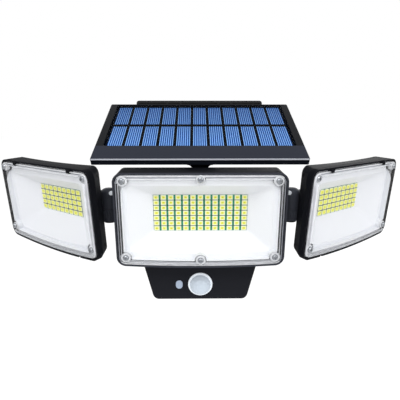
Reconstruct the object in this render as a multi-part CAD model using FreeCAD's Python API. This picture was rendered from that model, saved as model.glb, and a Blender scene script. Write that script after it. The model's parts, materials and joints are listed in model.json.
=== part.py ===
import FreeCAD, Part
import math
import os

# Solar security light with three lamp heads, a tilted panel above them and a motion sensor below.
# Millimetres. Origin: middle of the wall plate's screw line, on the wall face. +Z up, wall at +Y side.

V = FreeCAD.Vector
PX, PY, PZ = V(1, 0, 0), V(0, 1, 0), V(0, 0, 1)

# ---------------------------------------------------------------- driving dimensions
FACE_Y = -118.0            # centre head's front rim, in front of the wall
FACE_Z = -74.0             # centre head's middle height
CENTRE_TILT = 1.33         # face turned down, degrees
SIDE_SWIVEL = 35.33        # side heads turned outwards, degrees
SIDE_TILT = 3.06
BARREL = V(78.0, FACE_Y + 20.0, FACE_Z + 13.6)   # right swivel axis, at the height of its tilt axis
HEAD_PIVOT = 43.0          # centre head's tilt axis behind its face

# lamp heads: hw, hh half width and height; cz middle height; bow belly of the lower edge; r corners;
# rim straight part; d1, d2 depths of shoulder and back; t1, t2 what they draw in across and up;
# r1 shoulder corners; skew shoulder moved outwards; sag dip of the shoulder's top edge;
# mouth, floor half width, half height, corner and middle of the reflector's two ends
CENTRE = dict(hw=70.0, hh=39.6, cz=-0.6, bow=1.9, r=8.0, rim=6.0, d1=27.0, d2=34.0,
              t1=(0.6, 0.2), t2=(37.0, 14.0), r1=5.0, skew=0.0, sag=0.0,
              cols=13, rows=7, led_y=18.2, shift=(0.0, 0.7),
              mouth=(59.0, 28.0, 5.0, 0.0, -0.6), floor=(40.2, 16.0, 0.8),
              screws=[(-62.1, 32.4), (62.1, 32.4), (-62.1, -32.4), (62.1, -32.4), (0.0, 33.6), (0.0, -35.0)],
              tabs=[], drains=[])
SIDE = dict(hw=62.4, hh=36.6, cz=-1.0, bow=2.3, r=8.0, rim=5.0, d1=17.5, d2=26.0,
            t1=(5.3, 0.3), t2=(36.0, 15.0), r1=6.0, skew=4.7, sag=1.0,
            cols=9, rows=5, led_y=14.0, shift=(-2.0, 2.1),
            mouth=(49.3, 25.4, 5.0, 1.8, -2.6), floor=(27.6, 11.4, 0.8),
            screws=[(-55.7, 29.0), (55.7, 29.0), (-55.7, -28.0), (55.7, -28.0)],
            tabs=[-39.4, 36.8], drains=[-38.0])
BARREL_R = 7.0             # swivel barrels of arm and knuckle
ARM_LOW, ARM_HIGH = -18.7, -8.2      # arm's lower and upper faces from the tilt axis
SIDE_OFFSET = V(41.8, -33.7, -3.5)   # side face centre from the point where swivel and tilt axes meet
LED_PITCH = (6.3, 4.6)
LED_SIZE = (4.5, 4.15, 0.8)
WALL = 2.4                 # head shell
LEDGE, LEDGE_IN = 3.2, 4.6           # ledge under a head's cover: depth, and its inner edge from the rim
TAB_HW, TAB_REACH = 2.2, 3.9         # snap hooks over the cover: half width, reach from the rim's top
SCREW_R = 1.45             # cover screw shank

# solar panel
PANEL_TILT = 27.33
PANEL_FRONT = V(0.0, FACE_Y + 19.6, FACE_Z + 47.2)   # front top edge
PANEL_HW, PANEL_L, PANEL_T, PANEL_R = 92.3, 102.0, 5.6, 1.6
CELL_X, CELL_S0, CELL_S1 = 82.7, 23.5, 97.7
CELL_COLS, CELL_GAP, ROW_GAP = 11, 1.8, 3.0
BELLY = 9.4                # depth of the under-cover's belly below the frame
PANEL_SCREWS = [(-84.5, 10.0), (84.5, 10.0), (-84.5, 92.0), (84.5, 92.0), (0.0, 10.0), (0.0, 95.5)]
NECK_SCREWS = [(-15.0, 31.5), (15.0, 31.5), (-15.0, 44.5), (15.0, 44.5)]

# body behind and below the centre head (x half widths, heights)
BODY_TOP, BODY_KNEE, BODY_LOW = FACE_Z + 24.0, FACE_Z - 40.0, FACE_Z - 86.3
BODY_W, BODY_W_LOW = 55.0, 43.4
BODY_FRONT, BODY_SPLIT, BODY_BACK = FACE_Y + 54.0, FACE_Y + 96.0, FACE_Y + 111.0
SENSOR_FACE, SENSOR_TOP = FACE_Y + 27.0, FACE_Z - 46.0
BODY_WALL = 2.5
PIR = V(0.0, SENSOR_FACE, FACE_Z - 70.0)
WINDOW = V(-19.6, SENSOR_FACE, FACE_Z - 70.5)
BUTTON = V(0.0, FACE_Y + 64.0, BODY_LOW)
BUTTON_TOP, SWITCH_Z = BODY_LOW + BODY_WALL + 1.5, FACE_Z - 73.0
NECK_Y = FACE_Y + 60.0
BOARD_Y = SENSOR_FACE + 13.0         # front of the control board
PIVOT = V(0.0, FACE_Y + HEAD_PIVOT * math.cos(math.radians(CENTRE_TILT)),
          FACE_Z + HEAD_PIVOT * math.sin(math.radians(CENTRE_TILT)))
CELLS = [FACE_Z + 4.0, FACE_Z - 17.0]
CELL_R, CELL_LEN, CELL_Y = 9.2, 65.0, FACE_Y + 78.0
BODY_SCREWS = [(-47.8, FACE_Z + 18.2), (47.8, FACE_Z + 18.2), (-38.0, FACE_Z - 79.0), (38.0, FACE_Z - 79.0)]
BRACKET_SCREWS = [(-28.0, FACE_Z + 8.0), (28.0, FACE_Z + 8.0), (-28.0, FACE_Z - 44.0), (28.0, FACE_Z - 44.0)]
ARM_SCREWS = [(FACE_Y + 60.0, FACE_Z - 8.8), (FACE_Y + 78.0, FACE_Z - 8.8),
              (FACE_Y + 60.0, FACE_Z + 8.8), (FACE_Y + 78.0, FACE_Z + 8.8)]
NECK_BOLTS = (-15.5, 15.5)           # screws through the neck's foot
TAP_3, TAP_26 = 1.52, 1.32           # hole radii that 3 mm and 2.6 mm screws bite into

# wall plate
PLATE_T = 3.0
PLATE_HW, PLATE_TOP, PLATE_LOW = 66.5, 23.7, -16.0
WALL_HOLE_X, WALL_HOLE_R = 50.0, 2.3


# ---------------------------------------------------------------- helpers
def box(x0, x1, y0, y1, z0, z1):
    return Part.makeBox(x1 - x0, y1 - y0, z1 - z0, V(x0, y0, z0))


def rod(p, d, r, h):
    return Part.makeCylinder(r, h, p, d)


def union(shapes):
    out = shapes[0]
    if len(shapes) > 1:
        out = out.multiFuse(shapes[1:]).removeSplitter()
    return out


def prism(points, vec):
    """Solid swept along vec from a closed polygon."""
    return Part.Face(Part.makePolygon(points + [points[0]])).extrude(vec)


def window_wire(hw, hh, r, y, cx=0.0, cz=0.0, bow=0.0, sag=0.0):
    """Rounded rectangle in a plane of constant y; bow bellies its lower edge, sag dips its upper edge."""
    def p(u, v):
        return V(cx + u, y, cz + v)
    k = r * (1.0 - math.sqrt(0.5))
    low = Part.LineSegment(p(hw - r, -hh), p(-hw + r, -hh))
    if bow:
        low = Part.Arc(p(hw - r, -hh), p(0, -hh - bow), p(-hw + r, -hh))
    high = Part.LineSegment(p(-hw + r, hh), p(hw - r, hh))
    if sag:
        high = Part.Arc(p(-hw + r, hh), p(0, hh - sag), p(hw - r, hh))
    edges = [
        high,
        Part.Arc(p(hw - r, hh), p(hw - k, hh - k), p(hw, hh - r)),
        Part.LineSegment(p(hw, hh - r), p(hw, -hh + r)),
        Part.Arc(p(hw, -hh + r), p(hw - k, -hh + k), p(hw - r, -hh)),
        low,
        Part.Arc(p(-hw + r, -hh), p(-hw + k, -hh + k), p(-hw, -hh + r)),
        Part.LineSegment(p(-hw, -hh + r), p(-hw, hh - r)),
        Part.Arc(p(-hw, hh - r), p(-hw + k, hh - k), p(-hw + r, hh)),
    ]
    return Part.Wire([e.toShape() for e in edges])


def slab(hw, hh, r, y0, y1, cx=0.0, cz=0.0, bow=0.0):
    return Part.Face(window_wire(hw, hh, r, y0, cx, cz, bow)).extrude(V(0, y1 - y0, 0))


def loft(wires):
    return Part.makeLoft(wires, True, True)


def turned(shape, degrees, axis, centre=V(0, 0, 0)):
    out = shape.copy()
    out.rotate(centre, axis, degrees)
    return out


def moved(shape, vec):
    out = shape.copy()
    out.translate(vec)
    return out


def group(shapes):
    return Part.makeCompound(shapes)


def pan_screw(p, d, shank, length, head_r=2.6, head_h=1.7):
    """Screw whose head rests at p and whose shank runs along d."""
    d = V(d).normalize()
    head = Part.makeCone(head_r * 0.8, head_r, head_h * 0.45, p - d * head_h, d)
    head = head.fuse(rod(p - d * head_h * 0.55, d, head_r, head_h * 0.55))
    return head.fuse(rod(p, d, shank, length)).removeSplitter()


# ---------------------------------------------------------------- lamp heads, face at y = 0, back at +y
def head_section(h, y, dx, dz, r, skew=0.0, sag=0.0):
    return window_wire(h["hw"] - dx, h["hh"] - dz, r, y, skew, h["cz"], h["bow"], sag)


def head_outer(h):
    return loft([
        head_section(h, 0.0, 0.0, 0.0, h["r"]),
        head_section(h, h["rim"], 0.0, 0.0, h["r"]),
        head_section(h, h["d1"], h["t1"][0], h["t1"][1], h["r1"], h["skew"], h["sag"]),
        head_section(h, h["d2"], h["t2"][0], h["t2"][1], h["r"] - 2.0, 0.25 * h["skew"]),
    ])


def head_housing(h, lugs):
    """Shell open at the front, with a ledge for cover and seal, screw posts, snap hooks and rear lugs."""
    outer = head_outer(h)
    wall = WALL + 0.6
    (in1, up1), (in2, up2) = h["t1"], h["t2"]
    inner = loft([
        head_section(h, LEDGE, LEDGE_IN, LEDGE_IN, h["r"] - 3.0),
        head_section(h, h["rim"], LEDGE_IN, LEDGE_IN, h["r"] - 3.0),
        head_section(h, h["d1"] - 1.0, in1 + wall, up1 + wall, h["r1"] - 1.5, h["skew"], h["sag"]),
        head_section(h, h["d2"] - WALL, in2 + wall, up2 + wall, h["r"] - 3.0, 0.25 * h["skew"]),
    ])
    recess = Part.Face(head_section(h, -1.0, 1.6, 1.6, h["r"] - 1.6)).extrude(V(0, LEDGE + 1.0, 0))
    shell = outer.cut(inner.fuse(recess))
    posts = [rod(V(x, LEDGE + 1.0, z), PY, 3.9, 12.0) for x, z in h["screws"]]
    for sx in (-1, 1):
        for sz in (-1, 1):
            x = h["shift"][0] + sx * (h["floor"][0] - 1.0)
            z = h["shift"][1] + sz * (h["floor"][1] + 2.6)
            top = h["led_y"] + LED_SIZE[2] + 1.6
            posts.append(rod(V(x, top, z), PY, 2.6, h["d2"] - top - 1.0))
    top, low = h["cz"] + h["hh"], h["cz"] - h["hh"]
    hooks = [box(x - TAB_HW, x + TAB_HW, -1.3, 2.0, top - TAB_REACH, top - 1.0) for x in h["tabs"]]
    solid = union([shell] + [p.common(outer) for p in posts] + lugs + hooks)
    cuts = [rod(V(x, LEDGE, z), PY, SCREW_R + 0.05, 10.0) for x, z in h["screws"]]
    cuts += [box(x - 1.2, x + 1.2, -1.0, LEDGE - 0.6, low - h["bow"] - 1.0, low + 1.5) for x in h["drains"]]
    return solid.cut(group(cuts))


def cover_plateau(h, inset, y0, y1):
    """Raised window of the cover, with a round bite at each screw."""
    body = Part.Face(head_section(h, y0, inset, inset, h["r"] - 3.0)).extrude(V(0, y1 - y0, 0))
    bites = [rod(V(x, y0 - 1.0, z), PY, 4.9 + (inset - 4.6), y1 - y0 + 2.0) for x, z in h["screws"]]
    return body.cut(group(bites))


def head_cover(h):
    """Clear tray: flange in the recess, raised window, a bead round it and bosses at the screws."""
    flange = Part.Face(head_section(h, 0.2, 2.0, 2.0, h["r"] - 2.0)).extrude(V(0, 1.9, 0))
    bead = Part.Face(head_section(h, -1.0, 2.0, 2.0, h["r"] - 2.0)).extrude(V(0, 1.3, 0))
    bead = bead.cut(Part.Face(head_section(h, -1.5, 3.4, 3.4, h["r"] - 3.0)).extrude(V(0, 3.0, 0)))
    bead = bead.cut(group([rod(V(x, -1.5, z), PY, 3.0, 1.7) for x, z in h["screws"]]))
    bosses = [rod(V(x, -0.6, z), PY, 4.0, 1.0).common(
        Part.Face(head_section(h, -2.0, 2.0, 2.0, h["r"] - 2.0)).extrude(V(0, 6.0, 0)))
        for x, z in h["screws"]]
    solid = union([flange, bead, cover_plateau(h, 4.6, -2.2, 0.6)] + bosses)
    solid = solid.cut(cover_plateau(h, 6.2, -0.6, 2.6))
    cuts = [rod(V(x, -3.0, z), PY, SCREW_R + 0.25, 8.0) for x, z in h["screws"]]
    top, reach = h["cz"] + h["hh"], TAB_REACH + 0.4
    cuts += [box(x - TAB_HW - 0.4, x + TAB_HW + 0.4, -3.0, 3.0, top - reach, top) for x in h["tabs"]]
    return solid.cut(group(cuts))


def head_seal(h):
    """Flat ring between the cover's flange and the housing's ledge."""
    ring = Part.Face(head_section(h, 2.15, 2.1, 2.1, h["r"] - 2.1)).extrude(V(0, 1.0, 0))
    edge = LEDGE_IN - 0.1
    ring = ring.cut(Part.Face(head_section(h, 2.0, edge, edge, h["r"] - 3.0)).extrude(V(0, 3.0, 0)))
    return ring.cut(group([rod(V(x, 1.0, z), PY, 3.2, 4.0) for x, z in h["screws"]]))


def head_reflector(h):
    """White funnel: a flange round the mouth and four slopes down to the diodes."""
    mw, mh, mr, mx, mz = h["mouth"]
    fw, fh, fr = h["floor"]
    cx, cz = h["shift"]
    y0, y1 = LEDGE + 0.6, h["led_y"] + 0.6
    t, dy = 1.2, 0.5
    flange = Part.Face(head_section(h, y0, 5.0, 5.0, h["r"] - 3.6)).extrude(V(0, t, 0))
    outer = loft([window_wire(mw + t, mh + t, mr, y0, mx, mz, h["bow"]),
                  window_wire(fw + t, fh + t, fr + 1.0, y1, cx, cz)])
    inner = loft([window_wire(mw + 0.9, mh + 0.9, mr, y0 - dy, mx, mz, h["bow"]),
                  window_wire(mw, mh, mr, y0 + dy, mx, mz, h["bow"]),
                  window_wire(fw, fh, fr, y1 + 0.2, cx, cz)])
    solid = flange.fuse(outer).cut(inner).removeSplitter()
    return solid.cut(group([rod(V(x, y0 - 1.0, z), PY, 4.2, 4.0) for x, z in h["screws"]]))


def head_board(h):
    cx, cz = h["shift"]
    y0 = h["led_y"] + LED_SIZE[2]
    return slab(h["floor"][0] + 2.6, h["floor"][1] + 5.8, 2.0, y0, y0 + 1.5, cx, cz)


def head_leds(h):
    cx, cz = h["shift"]
    out = []
    for i in range(h["cols"]):
        for j in range(h["rows"]):
            x = cx + (i - (h["cols"] - 1) / 2) * LED_PITCH[0]
            z = cz + (j - (h["rows"] - 1) / 2) * LED_PITCH[1]
            out.append(box(x - LED_SIZE[0] / 2, x + LED_SIZE[0] / 2, h["led_y"], h["led_y"] + LED_SIZE[2],
                           z - LED_SIZE[1] / 2, z + LED_SIZE[1] / 2))
    return group(out)


def head_screws(h):
    return group([pan_screw(V(x, -0.6, z), PY, SCREW_R, 10.0, 2.4) for x, z in h["screws"]])


def lug(x0, x1, axis_y, axis_z, r, hole, root_y, root_h):
    """Ear with a round end on a tilt axis, spreading to root_y; it may stand either way along y."""
    side = 1.0 if root_y < axis_y else -1.0
    reach = math.acos(min(0.95, r / math.hypot(axis_y - root_y, root_h)))
    angle = math.atan2(root_h, root_y - axis_y) - side * reach
    ty, tz = axis_y + r * math.cos(angle), r * math.sin(angle)
    pts = [V(x0, root_y, axis_z + root_h), V(x0, ty, axis_z + tz), V(x0, ty, axis_z - tz),
           V(x0, root_y, axis_z - root_h)]
    ear = prism(pts, V(x1 - x0, 0, 0)).fuse(rod(V(x0, axis_y, axis_z), PX, r, x1 - x0))
    return ear.cut(rod(V(x0 - 1, axis_y, axis_z), PX, hole, x1 - x0 + 2))


def centre_place(shape):
    return moved(turned(shape, CENTRE_TILT, PX), V(0, FACE_Y, FACE_Z))


def side_place(shape):
    """From the head's own frame to the right-hand place; the swivel and tilt axes meet at BARREL."""
    return swivel_place(turned(moved(shape, SIDE_OFFSET), SIDE_TILT, PX))


def swivel_place(shape):
    return moved(turned(shape, SIDE_SWIVEL, PZ), BARREL)


# ---------------------------------------------------------------- solar panel, x across, y up the slope
def panel_place(shape):
    return moved(turned(shape, PANEL_TILT, PX), PANEL_FRONT)


def plate(x0, x1, y0, y1, z0, z1, r):
    """Flat piece with rounded corners in plan."""
    k = r * (1.0 - math.sqrt(0.5))
    def p(x, y):
        return V(x, y, z0)
    e = [
        Part.LineSegment(p(x0 + r, y0), p(x1 - r, y0)),
        Part.Arc(p(x1 - r, y0), p(x1 - k, y0 + k), p(x1, y0 + r)),
        Part.LineSegment(p(x1, y0 + r), p(x1, y1 - r)),
        Part.Arc(p(x1, y1 - r), p(x1 - k, y1 - k), p(x1 - r, y1)),
        Part.LineSegment(p(x1 - r, y1), p(x0 + r, y1)),
        Part.Arc(p(x0 + r, y1), p(x0 + k, y1 - k), p(x0, y1 - r)),
        Part.LineSegment(p(x0, y1 - r), p(x0, y0 + r)),
        Part.Arc(p(x0, y0 + r), p(x0 + k, y0 + k), p(x0 + r, y0)),
    ]
    return Part.Face(Part.Wire([c.toShape() for c in e])).extrude(V(0, 0, z1 - z0))


def plan_wire(hx, y0, y1, z, r):
    face = plate(-hx, hx, y0, y1, z, z + 1.0, r)
    low = [f for f in face.Faces if abs(f.BoundBox.ZMax - z) < 1e-6][0]
    return low.OuterWire


def panel_frame():
    """Tray for the cells: rounded upper edge, a parting groove all round and pockets from below."""
    t, r, deep = PANEL_T, PANEL_R, 0.7
    body = plate(-PANEL_HW, PANEL_HW, 0, PANEL_L, -t, 0, r)
    body = body.makeFillet(0.8, [e for e in body.Edges if e.BoundBox.ZMin > -1e-6])
    ring = plate(-PANEL_HW - 1, PANEL_HW + 1, -1, PANEL_L + 1, -2.4, -1.5, r + 1)
    core = plate(-PANEL_HW + deep, PANEL_HW - deep, deep, PANEL_L - deep, -3, -1, r - deep)
    body = body.cut(ring.cut(core))
    body = body.cut(plate(-CELL_X - 2.6, CELL_X + 2.6, CELL_S0 - 2.6, CELL_S1 + 2.4, -3.4, 1.0, 1.5))
    body = body.cut(plate(-74, 74, 30, 86, -t - 1, 0, 4.0))
    for side in (-1, 1):
        x0, x1 = sorted((side * 6.0, side * 78.0))
        body = body.cut(plate(x0, x1, 3.0, 18.0, -t - 1, -2.4, 2.0))
    return body.cut(group([rod(V(x, y, -t - 1), PZ, TAP_26, t - 2.4) for x, y in PANEL_SCREWS]))


def panel_cover():
    """Under-cover: flat flange and a tapered belly for the leads, open towards the frame."""
    z0 = -PANEL_T
    flange = plate(-88, 88, 4.0, 98.5, z0 - 1.6, z0, 3.0)
    belly = loft([plan_wire(80, 14, 92, z0 - 1.6, 6.0), plan_wire(52, 24, 84, z0 - BELLY, 6.0)])
    hollow = loft([plan_wire(78.5, 15.5, 90.5, z0 + 0.01, 5.0), plan_wire(78.5, 15.5, 90.5, z0 - 1.6, 5.0),
                   plan_wire(51, 25.5, 82.5, z0 - BELLY + 1.6, 5.0)])
    body = flange.fuse(belly).cut(hollow).removeSplitter()
    posts = [rod(V(x, y, z0 - BELLY + 0.8), PZ, 3.0, 6.0) for x, y in NECK_SCREWS]
    body = union([body] + posts)
    body = body.cut(group([rod(V(x, y, z0 - 12), PZ, TAP_26, 8.0) for x, y in NECK_SCREWS]))
    body = body.cut(rod(V(0, 38.0, z0 - 12), PZ, 3.4, 8.0))
    return body.cut(group([rod(V(x, y, z0 - 3), PZ, 1.6, 5.0) for x, y in PANEL_SCREWS]))


def solar_sheet():
    return plate(-CELL_X - 2.4, CELL_X + 2.4, CELL_S0 - 2.4, CELL_S1 + 2.2, -3.3, -2.5, 1.3)


def solar_cells():
    w = (2 * CELL_X - (CELL_COLS - 1) * CELL_GAP) / CELL_COLS
    d = (CELL_S1 - CELL_S0 - ROW_GAP) / 2
    out = []
    for i in range(CELL_COLS):
        for j in range(2):
            x, y = -CELL_X + i * (w + CELL_GAP), CELL_S0 + j * (d + ROW_GAP)
            out.append(box(x, x + w, y, y + d, -2.5, -2.2))
    return group(out)


def solar_glass():
    return plate(-CELL_X - 2.4, CELL_X + 2.4, CELL_S0 - 2.4, CELL_S1 + 2.2, -2.2, -0.4, 1.3)


def panel_neck():
    """Flared stem between the body's top and the panel's under-cover, with a bore for the lead."""
    z0, foot = BODY_TOP, BODY_TOP + 3.0
    low, flare, top_z = FACE_Z + 35.0, FACE_Z + 37.6, FACE_Z + 66.0
    half, wide = 7.7, 12.1
    outline = [Part.LineSegment(V(half, 0, foot), V(half, 0, low)),
               Part.Arc(V(half, 0, low), V(half + 1.1, 0, low + 1.7), V(wide, 0, flare)),
               Part.LineSegment(V(wide, 0, flare), V(wide, 0, top_z)),
               Part.LineSegment(V(wide, 0, top_z), V(-wide, 0, top_z)),
               Part.LineSegment(V(-wide, 0, top_z), V(-wide, 0, flare)),
               Part.Arc(V(-wide, 0, flare), V(-half - 1.1, 0, low + 1.7), V(-half, 0, low)),
               Part.LineSegment(V(-half, 0, low), V(-half, 0, foot)),
               Part.LineSegment(V(-half, 0, foot), V(half, 0, foot))]
    stem = Part.Face(Part.Wire([c.toShape() for c in outline])).extrude(V(0, 15.0, 0))
    stem = moved(stem, V(0, NECK_Y - 7.5, 0))
    base = plate(-20, 20, NECK_Y - 8.5, NECK_Y + 8.5, z0, foot, 4.0)
    under = -PANEL_T - BELLY
    top = panel_place(plate(-18.2, 18.2, 27.5, 48.5, under - 2.6, under, 3.0))
    above = panel_place(box(-40, 40, 0, 90, under, under + 60))
    solid = union([stem.cut(above), base, top])
    solid = solid.cut(rod(V(0, NECK_Y, z0 - 1), PZ, 2.4, 40))
    solid = solid.cut(group([panel_place(rod(V(x, y, under - 4), PZ, 1.6, 6)) for x, y in NECK_SCREWS]))
    return solid.cut(group([rod(V(x, NECK_Y, z0 - 1), PZ, 1.6, 6) for x in NECK_BOLTS]))


def neck_screws():
    under = -PANEL_T - BELLY
    out = [panel_place(pan_screw(V(x, y, under - 2.6), PZ, 1.3, 6.5, 2.4, 1.5)) for x, y in NECK_SCREWS]
    out += [pan_screw(V(x, NECK_Y, BODY_TOP + 3.0), V(0, 0, -1), 1.5, 9.0, 2.6, 1.7) for x in NECK_BOLTS]
    return group(out)


def panel_lead():
    return rod(V(0, NECK_Y, BODY_TOP - 9.0), PZ, 1.7, 28.0)


def panel_screws():
    z0 = -PANEL_T - 1.6
    return panel_place(group([pan_screw(V(x, y, z0), PZ, 1.3, 3.4, 2.3, 1.4) for x, y in PANEL_SCREWS]))


# ---------------------------------------------------------------- body
def rounded_wire(points, radii, y):
    """Closed outline in a plane of constant y with each corner rounded."""
    n = len(points)
    cuts = []
    for i in range(n):
        p, q, s = points[i - 1], points[i], points[(i + 1) % n]
        a = V(p[0] - q[0], 0, p[1] - q[1]).normalize()
        b = V(s[0] - q[0], 0, s[1] - q[1]).normalize()
        c = V(q[0], y, q[1])
        half = a.getAngle(b) / 2
        cut = radii[i] / math.tan(half)
        m = (a + b).normalize()
        mid = c + m * (radii[i] / math.sin(half) - radii[i])
        cuts.append((c + a * cut, mid, c + b * cut))
    edges = []
    for i in range(n):
        edges.append(Part.Arc(*cuts[i]).toShape())
        edges.append(Part.LineSegment(cuts[i][2], cuts[(i + 1) % n][0]).toShape())
    return Part.Wire(edges)


def body_wire(y, inset=0.0, top=BODY_TOP):
    """Body outline: straight sides, then sloped in below the knee; inset keeps the wall thickness."""
    slope = (BODY_W - BODY_W_LOW) / (BODY_KNEE - BODY_LOW)
    w, wl = BODY_W - inset, BODY_W_LOW - inset + slope * inset
    t, b = top - inset, BODY_LOW + inset
    if top > BODY_KNEE:
        pts = [(w, t), (-w, t), (-w, BODY_KNEE), (-wl, b), (wl, b), (w, BODY_KNEE)]
        radii = [6.0, 6.0, 12.0, 6.0, 6.0, 12.0]
    else:
        wt = BODY_W - (BODY_KNEE - top) * slope - inset - slope * inset
        pts = [(wt, t), (-wt, t), (-wl, b), (wl, b)]
        radii = [3.0, 3.0, 6.0, 6.0]
    radii = [max(1.5, r - inset) for r in radii]
    return rounded_wire(pts, radii, y)


def body_slab(y0, y1, inset=0.0, top=BODY_TOP):
    return Part.Face(body_wire(y0, inset, top)).extrude(V(0, y1 - y0, 0))


def oval(p, hw, hh, y0, y1):
    return moved(slab(hw, hh, min(hw, hh) - 0.05, y0, y1), V(p.x, 0, p.z))


def body_front():
    """Front shell: tall box behind the centre head, stepped forward below it to the sensor face."""
    split = BODY_SPLIT - 0.5
    upper = body_slab(BODY_FRONT, split)
    upper = upper.makeFillet(3.0, [e for e in upper.Edges if e.BoundBox.YMax < BODY_FRONT + 1e-6])
    lower = body_slab(SENSOR_FACE, BODY_FRONT + 8.0, 0.0, SENSOR_TOP)
    lower = lower.makeFillet(2.4, [e for e in lower.Edges if e.BoundBox.YMax < SENSOR_FACE + 1e-6])
    solid = upper.fuse(lower)
    cavity = body_slab(BODY_FRONT + BODY_WALL, split + 1, BODY_WALL)
    pocket = body_slab(SENSOR_FACE + BODY_WALL, BODY_FRONT + 9.0, BODY_WALL, SENSOR_TOP)
    solid = solid.cut(cavity.fuse(pocket))
    extra = [rod(V(x, split, z), V(0, -1, 0), 3.7, 26.0) for x, z in BODY_SCREWS]
    extra += [rod(V(x, SENSOR_FACE + 1.0, FACE_Z - 66.0), PY, 2.6, 12.0) for x in (-31.0, 31.0)]
    extra += [rod(V(x, BUTTON.y, BODY_LOW + 1.0), PZ, 2.0, 11.0) for x in (-9.8, 9.8)]
    for side in (-1, 1):
        x0, x1 = sorted((side * 21.4, side * 28.4))
        extra.append(lug(x0, x1, PIVOT.y, PIVOT.z, 7.0, 2.52, BODY_FRONT + 0.6, 11.0))
    solid = union([solid] + extra)
    cuts = [rod(V(x, split + 1, z), V(0, -1, 0), TAP_3, 22.0) for x, z in BODY_SCREWS]
    cuts.append(rod(V(PIR.x, SENSOR_FACE - 1, PIR.z), PY, 10.45, 5.0))
    cuts.append(oval(WINDOW, 3.25, 4.25, SENSOR_FACE - 1, SENSOR_FACE + 4))
    cuts.append(rod(V(BUTTON.x, BUTTON.y, BODY_LOW - 1), PZ, 5.1, 5.0))
    cuts.append(rod(V(0, NECK_Y, BODY_TOP - 4), PZ, 2.4, 6.0))
    cuts += [rod(V(x, NECK_Y, BODY_TOP - 4), PZ, TAP_3, 6.0) for x in NECK_BOLTS]
    for side in (-1, 1):
        cuts += [rod(V(side * (BODY_W + 1), y, z), V(-side, 0, 0), TAP_3, 5.0) for y, z in ARM_SCREWS]
    return solid.cut(group(cuts))


def body_seal():
    ring = body_slab(BODY_SPLIT - 0.5, BODY_SPLIT + 0.5, 0.5)
    return ring.cut(body_slab(BODY_SPLIT - 1, BODY_SPLIT + 1, 2.0))


def rear_cover():
    """Tray that closes the body from behind; rounded edge, screw sockets, bosses and shallow grip grooves."""
    y0, y1 = BODY_SPLIT + 0.5, BODY_BACK
    tray = body_slab(y0, y1)
    tray = tray.makeFillet(4.0, [e for e in tray.Edges if e.BoundBox.YMin > y1 - 1e-6])
    tray = tray.cut(body_slab(y0 - 1, y1 - BODY_WALL, BODY_WALL))
    posts = [rod(V(x, y1 - 0.5, z), V(0, -1, 0), 4.2, y1 - y0 - 0.5) for x, z in BODY_SCREWS]
    posts += [rod(V(x, y1 - 0.5, z), V(0, -1, 0), 4.2, 9.0) for x, z in BRACKET_SCREWS]
    tray = union([tray] + posts)
    cuts = [rod(V(x, y1 + 1, z), V(0, -1, 0), 1.75, 30.0) for x, z in BODY_SCREWS]
    cuts += [rod(V(x, y1 + 1, z), V(0, -1, 0), 3.3, 3.4) for x, z in BODY_SCREWS]
    cuts += [rod(V(x, y1 + 1, z), V(0, -1, 0), 1.92, 9.0) for x, z in BRACKET_SCREWS]
    for i in range(6):
        z = FACE_Z - 70.0 + i * 2.6
        cuts.append(box(-22, 22, y1 - 0.9, y1 + 1, z - 0.6, z + 0.6))
    return tray.cut(group(cuts))


def body_screws():
    y = BODY_BACK - 2.4
    return group([pan_screw(V(x, y, z), V(0, -1, 0), 1.5, 26.0, 2.7, 1.8) for x, z in BODY_SCREWS])


def wall_plate():
    """Wide plate with a stiff rim behind the panel, a deep spine and a lower plate on the rear cover."""
    t = PLATE_T
    half, mid = (PLATE_TOP - PLATE_LOW) / 2, (PLATE_TOP + PLATE_LOW) / 2
    upper = slab(PLATE_HW, half, 2.8, -t - 1.4, 0, 0, mid)
    dish = slab(PLATE_HW - 2.2, half - 2.2, 1.2, -t - 3, -t, 0, mid)
    upper = upper.cut(dish)
    pads = [rod(V(s * WALL_HOLE_X, -t - 1.4, 0), PY, 6.5, 2.4) for s in (-1, 1)]
    low_top, low_end = FACE_Z + 18.0, FACE_Z - 52.0
    lower = slab(38.0, (low_top - low_end) / 2, 5.0, -t, 0, 0, (low_top + low_end) / 2)
    stand = [rod(V(x, BODY_BACK, z), PY, 6.0, -BODY_BACK) for x, z in BRACKET_SCREWS]
    x, step = -8.5, BODY_TOP + 0.8
    spine = prism([V(x, 0, PLATE_TOP - 8), V(x, -5.0, PLATE_TOP - 8), V(x, -17.0, PLATE_LOW - 8),
                   V(x, -17.0, step), V(x, BODY_BACK, step), V(x, BODY_BACK, low_top - 30),
                   V(x, 0, low_top - 40)], V(-2 * x, 0, 0))
    x, step = -6.3, BODY_TOP + 3.0
    core = prism([V(x, 1, PLATE_TOP - 12), V(x, -4.0, PLATE_TOP - 14), V(x, -14.6, PLATE_LOW - 8.6),
                  V(x, -14.6, step), V(x, BODY_BACK + 2.4, step), V(x, BODY_BACK + 2.4, low_top - 29),
                  V(x, 1, low_top - 36)], V(-2 * x, 0, 0))
    fins = []
    for s in (-1, 1):
        for x in (20.0, 34.0):
            fins.append(box(s * x - 0.9, s * x + 0.9, -t - 1.4, -t + 0.2, PLATE_LOW + 1, PLATE_TOP - 1))
    solid = union([upper, lower, spine] + pads + stand + fins).cut(core)
    cuts = [rod(V(s * WALL_HOLE_X, -20, 0), PY, WALL_HOLE_R, 30) for s in (-1, 1)]
    cuts += [rod(V(x, 1, z), V(0, -1, 0), 3.6, 3.0) for x, z in BRACKET_SCREWS]
    cuts += [rod(V(x, 1, z), V(0, -1, 0), 2.05, 12.0) for x, z in BRACKET_SCREWS]
    return solid.cut(group(cuts))


def bracket_screws():
    return group([pan_screw(V(x, -2.0, z), V(0, -1, 0), 1.9, 12.5, 3.3, 1.7) for x, z in BRACKET_SCREWS])


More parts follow.
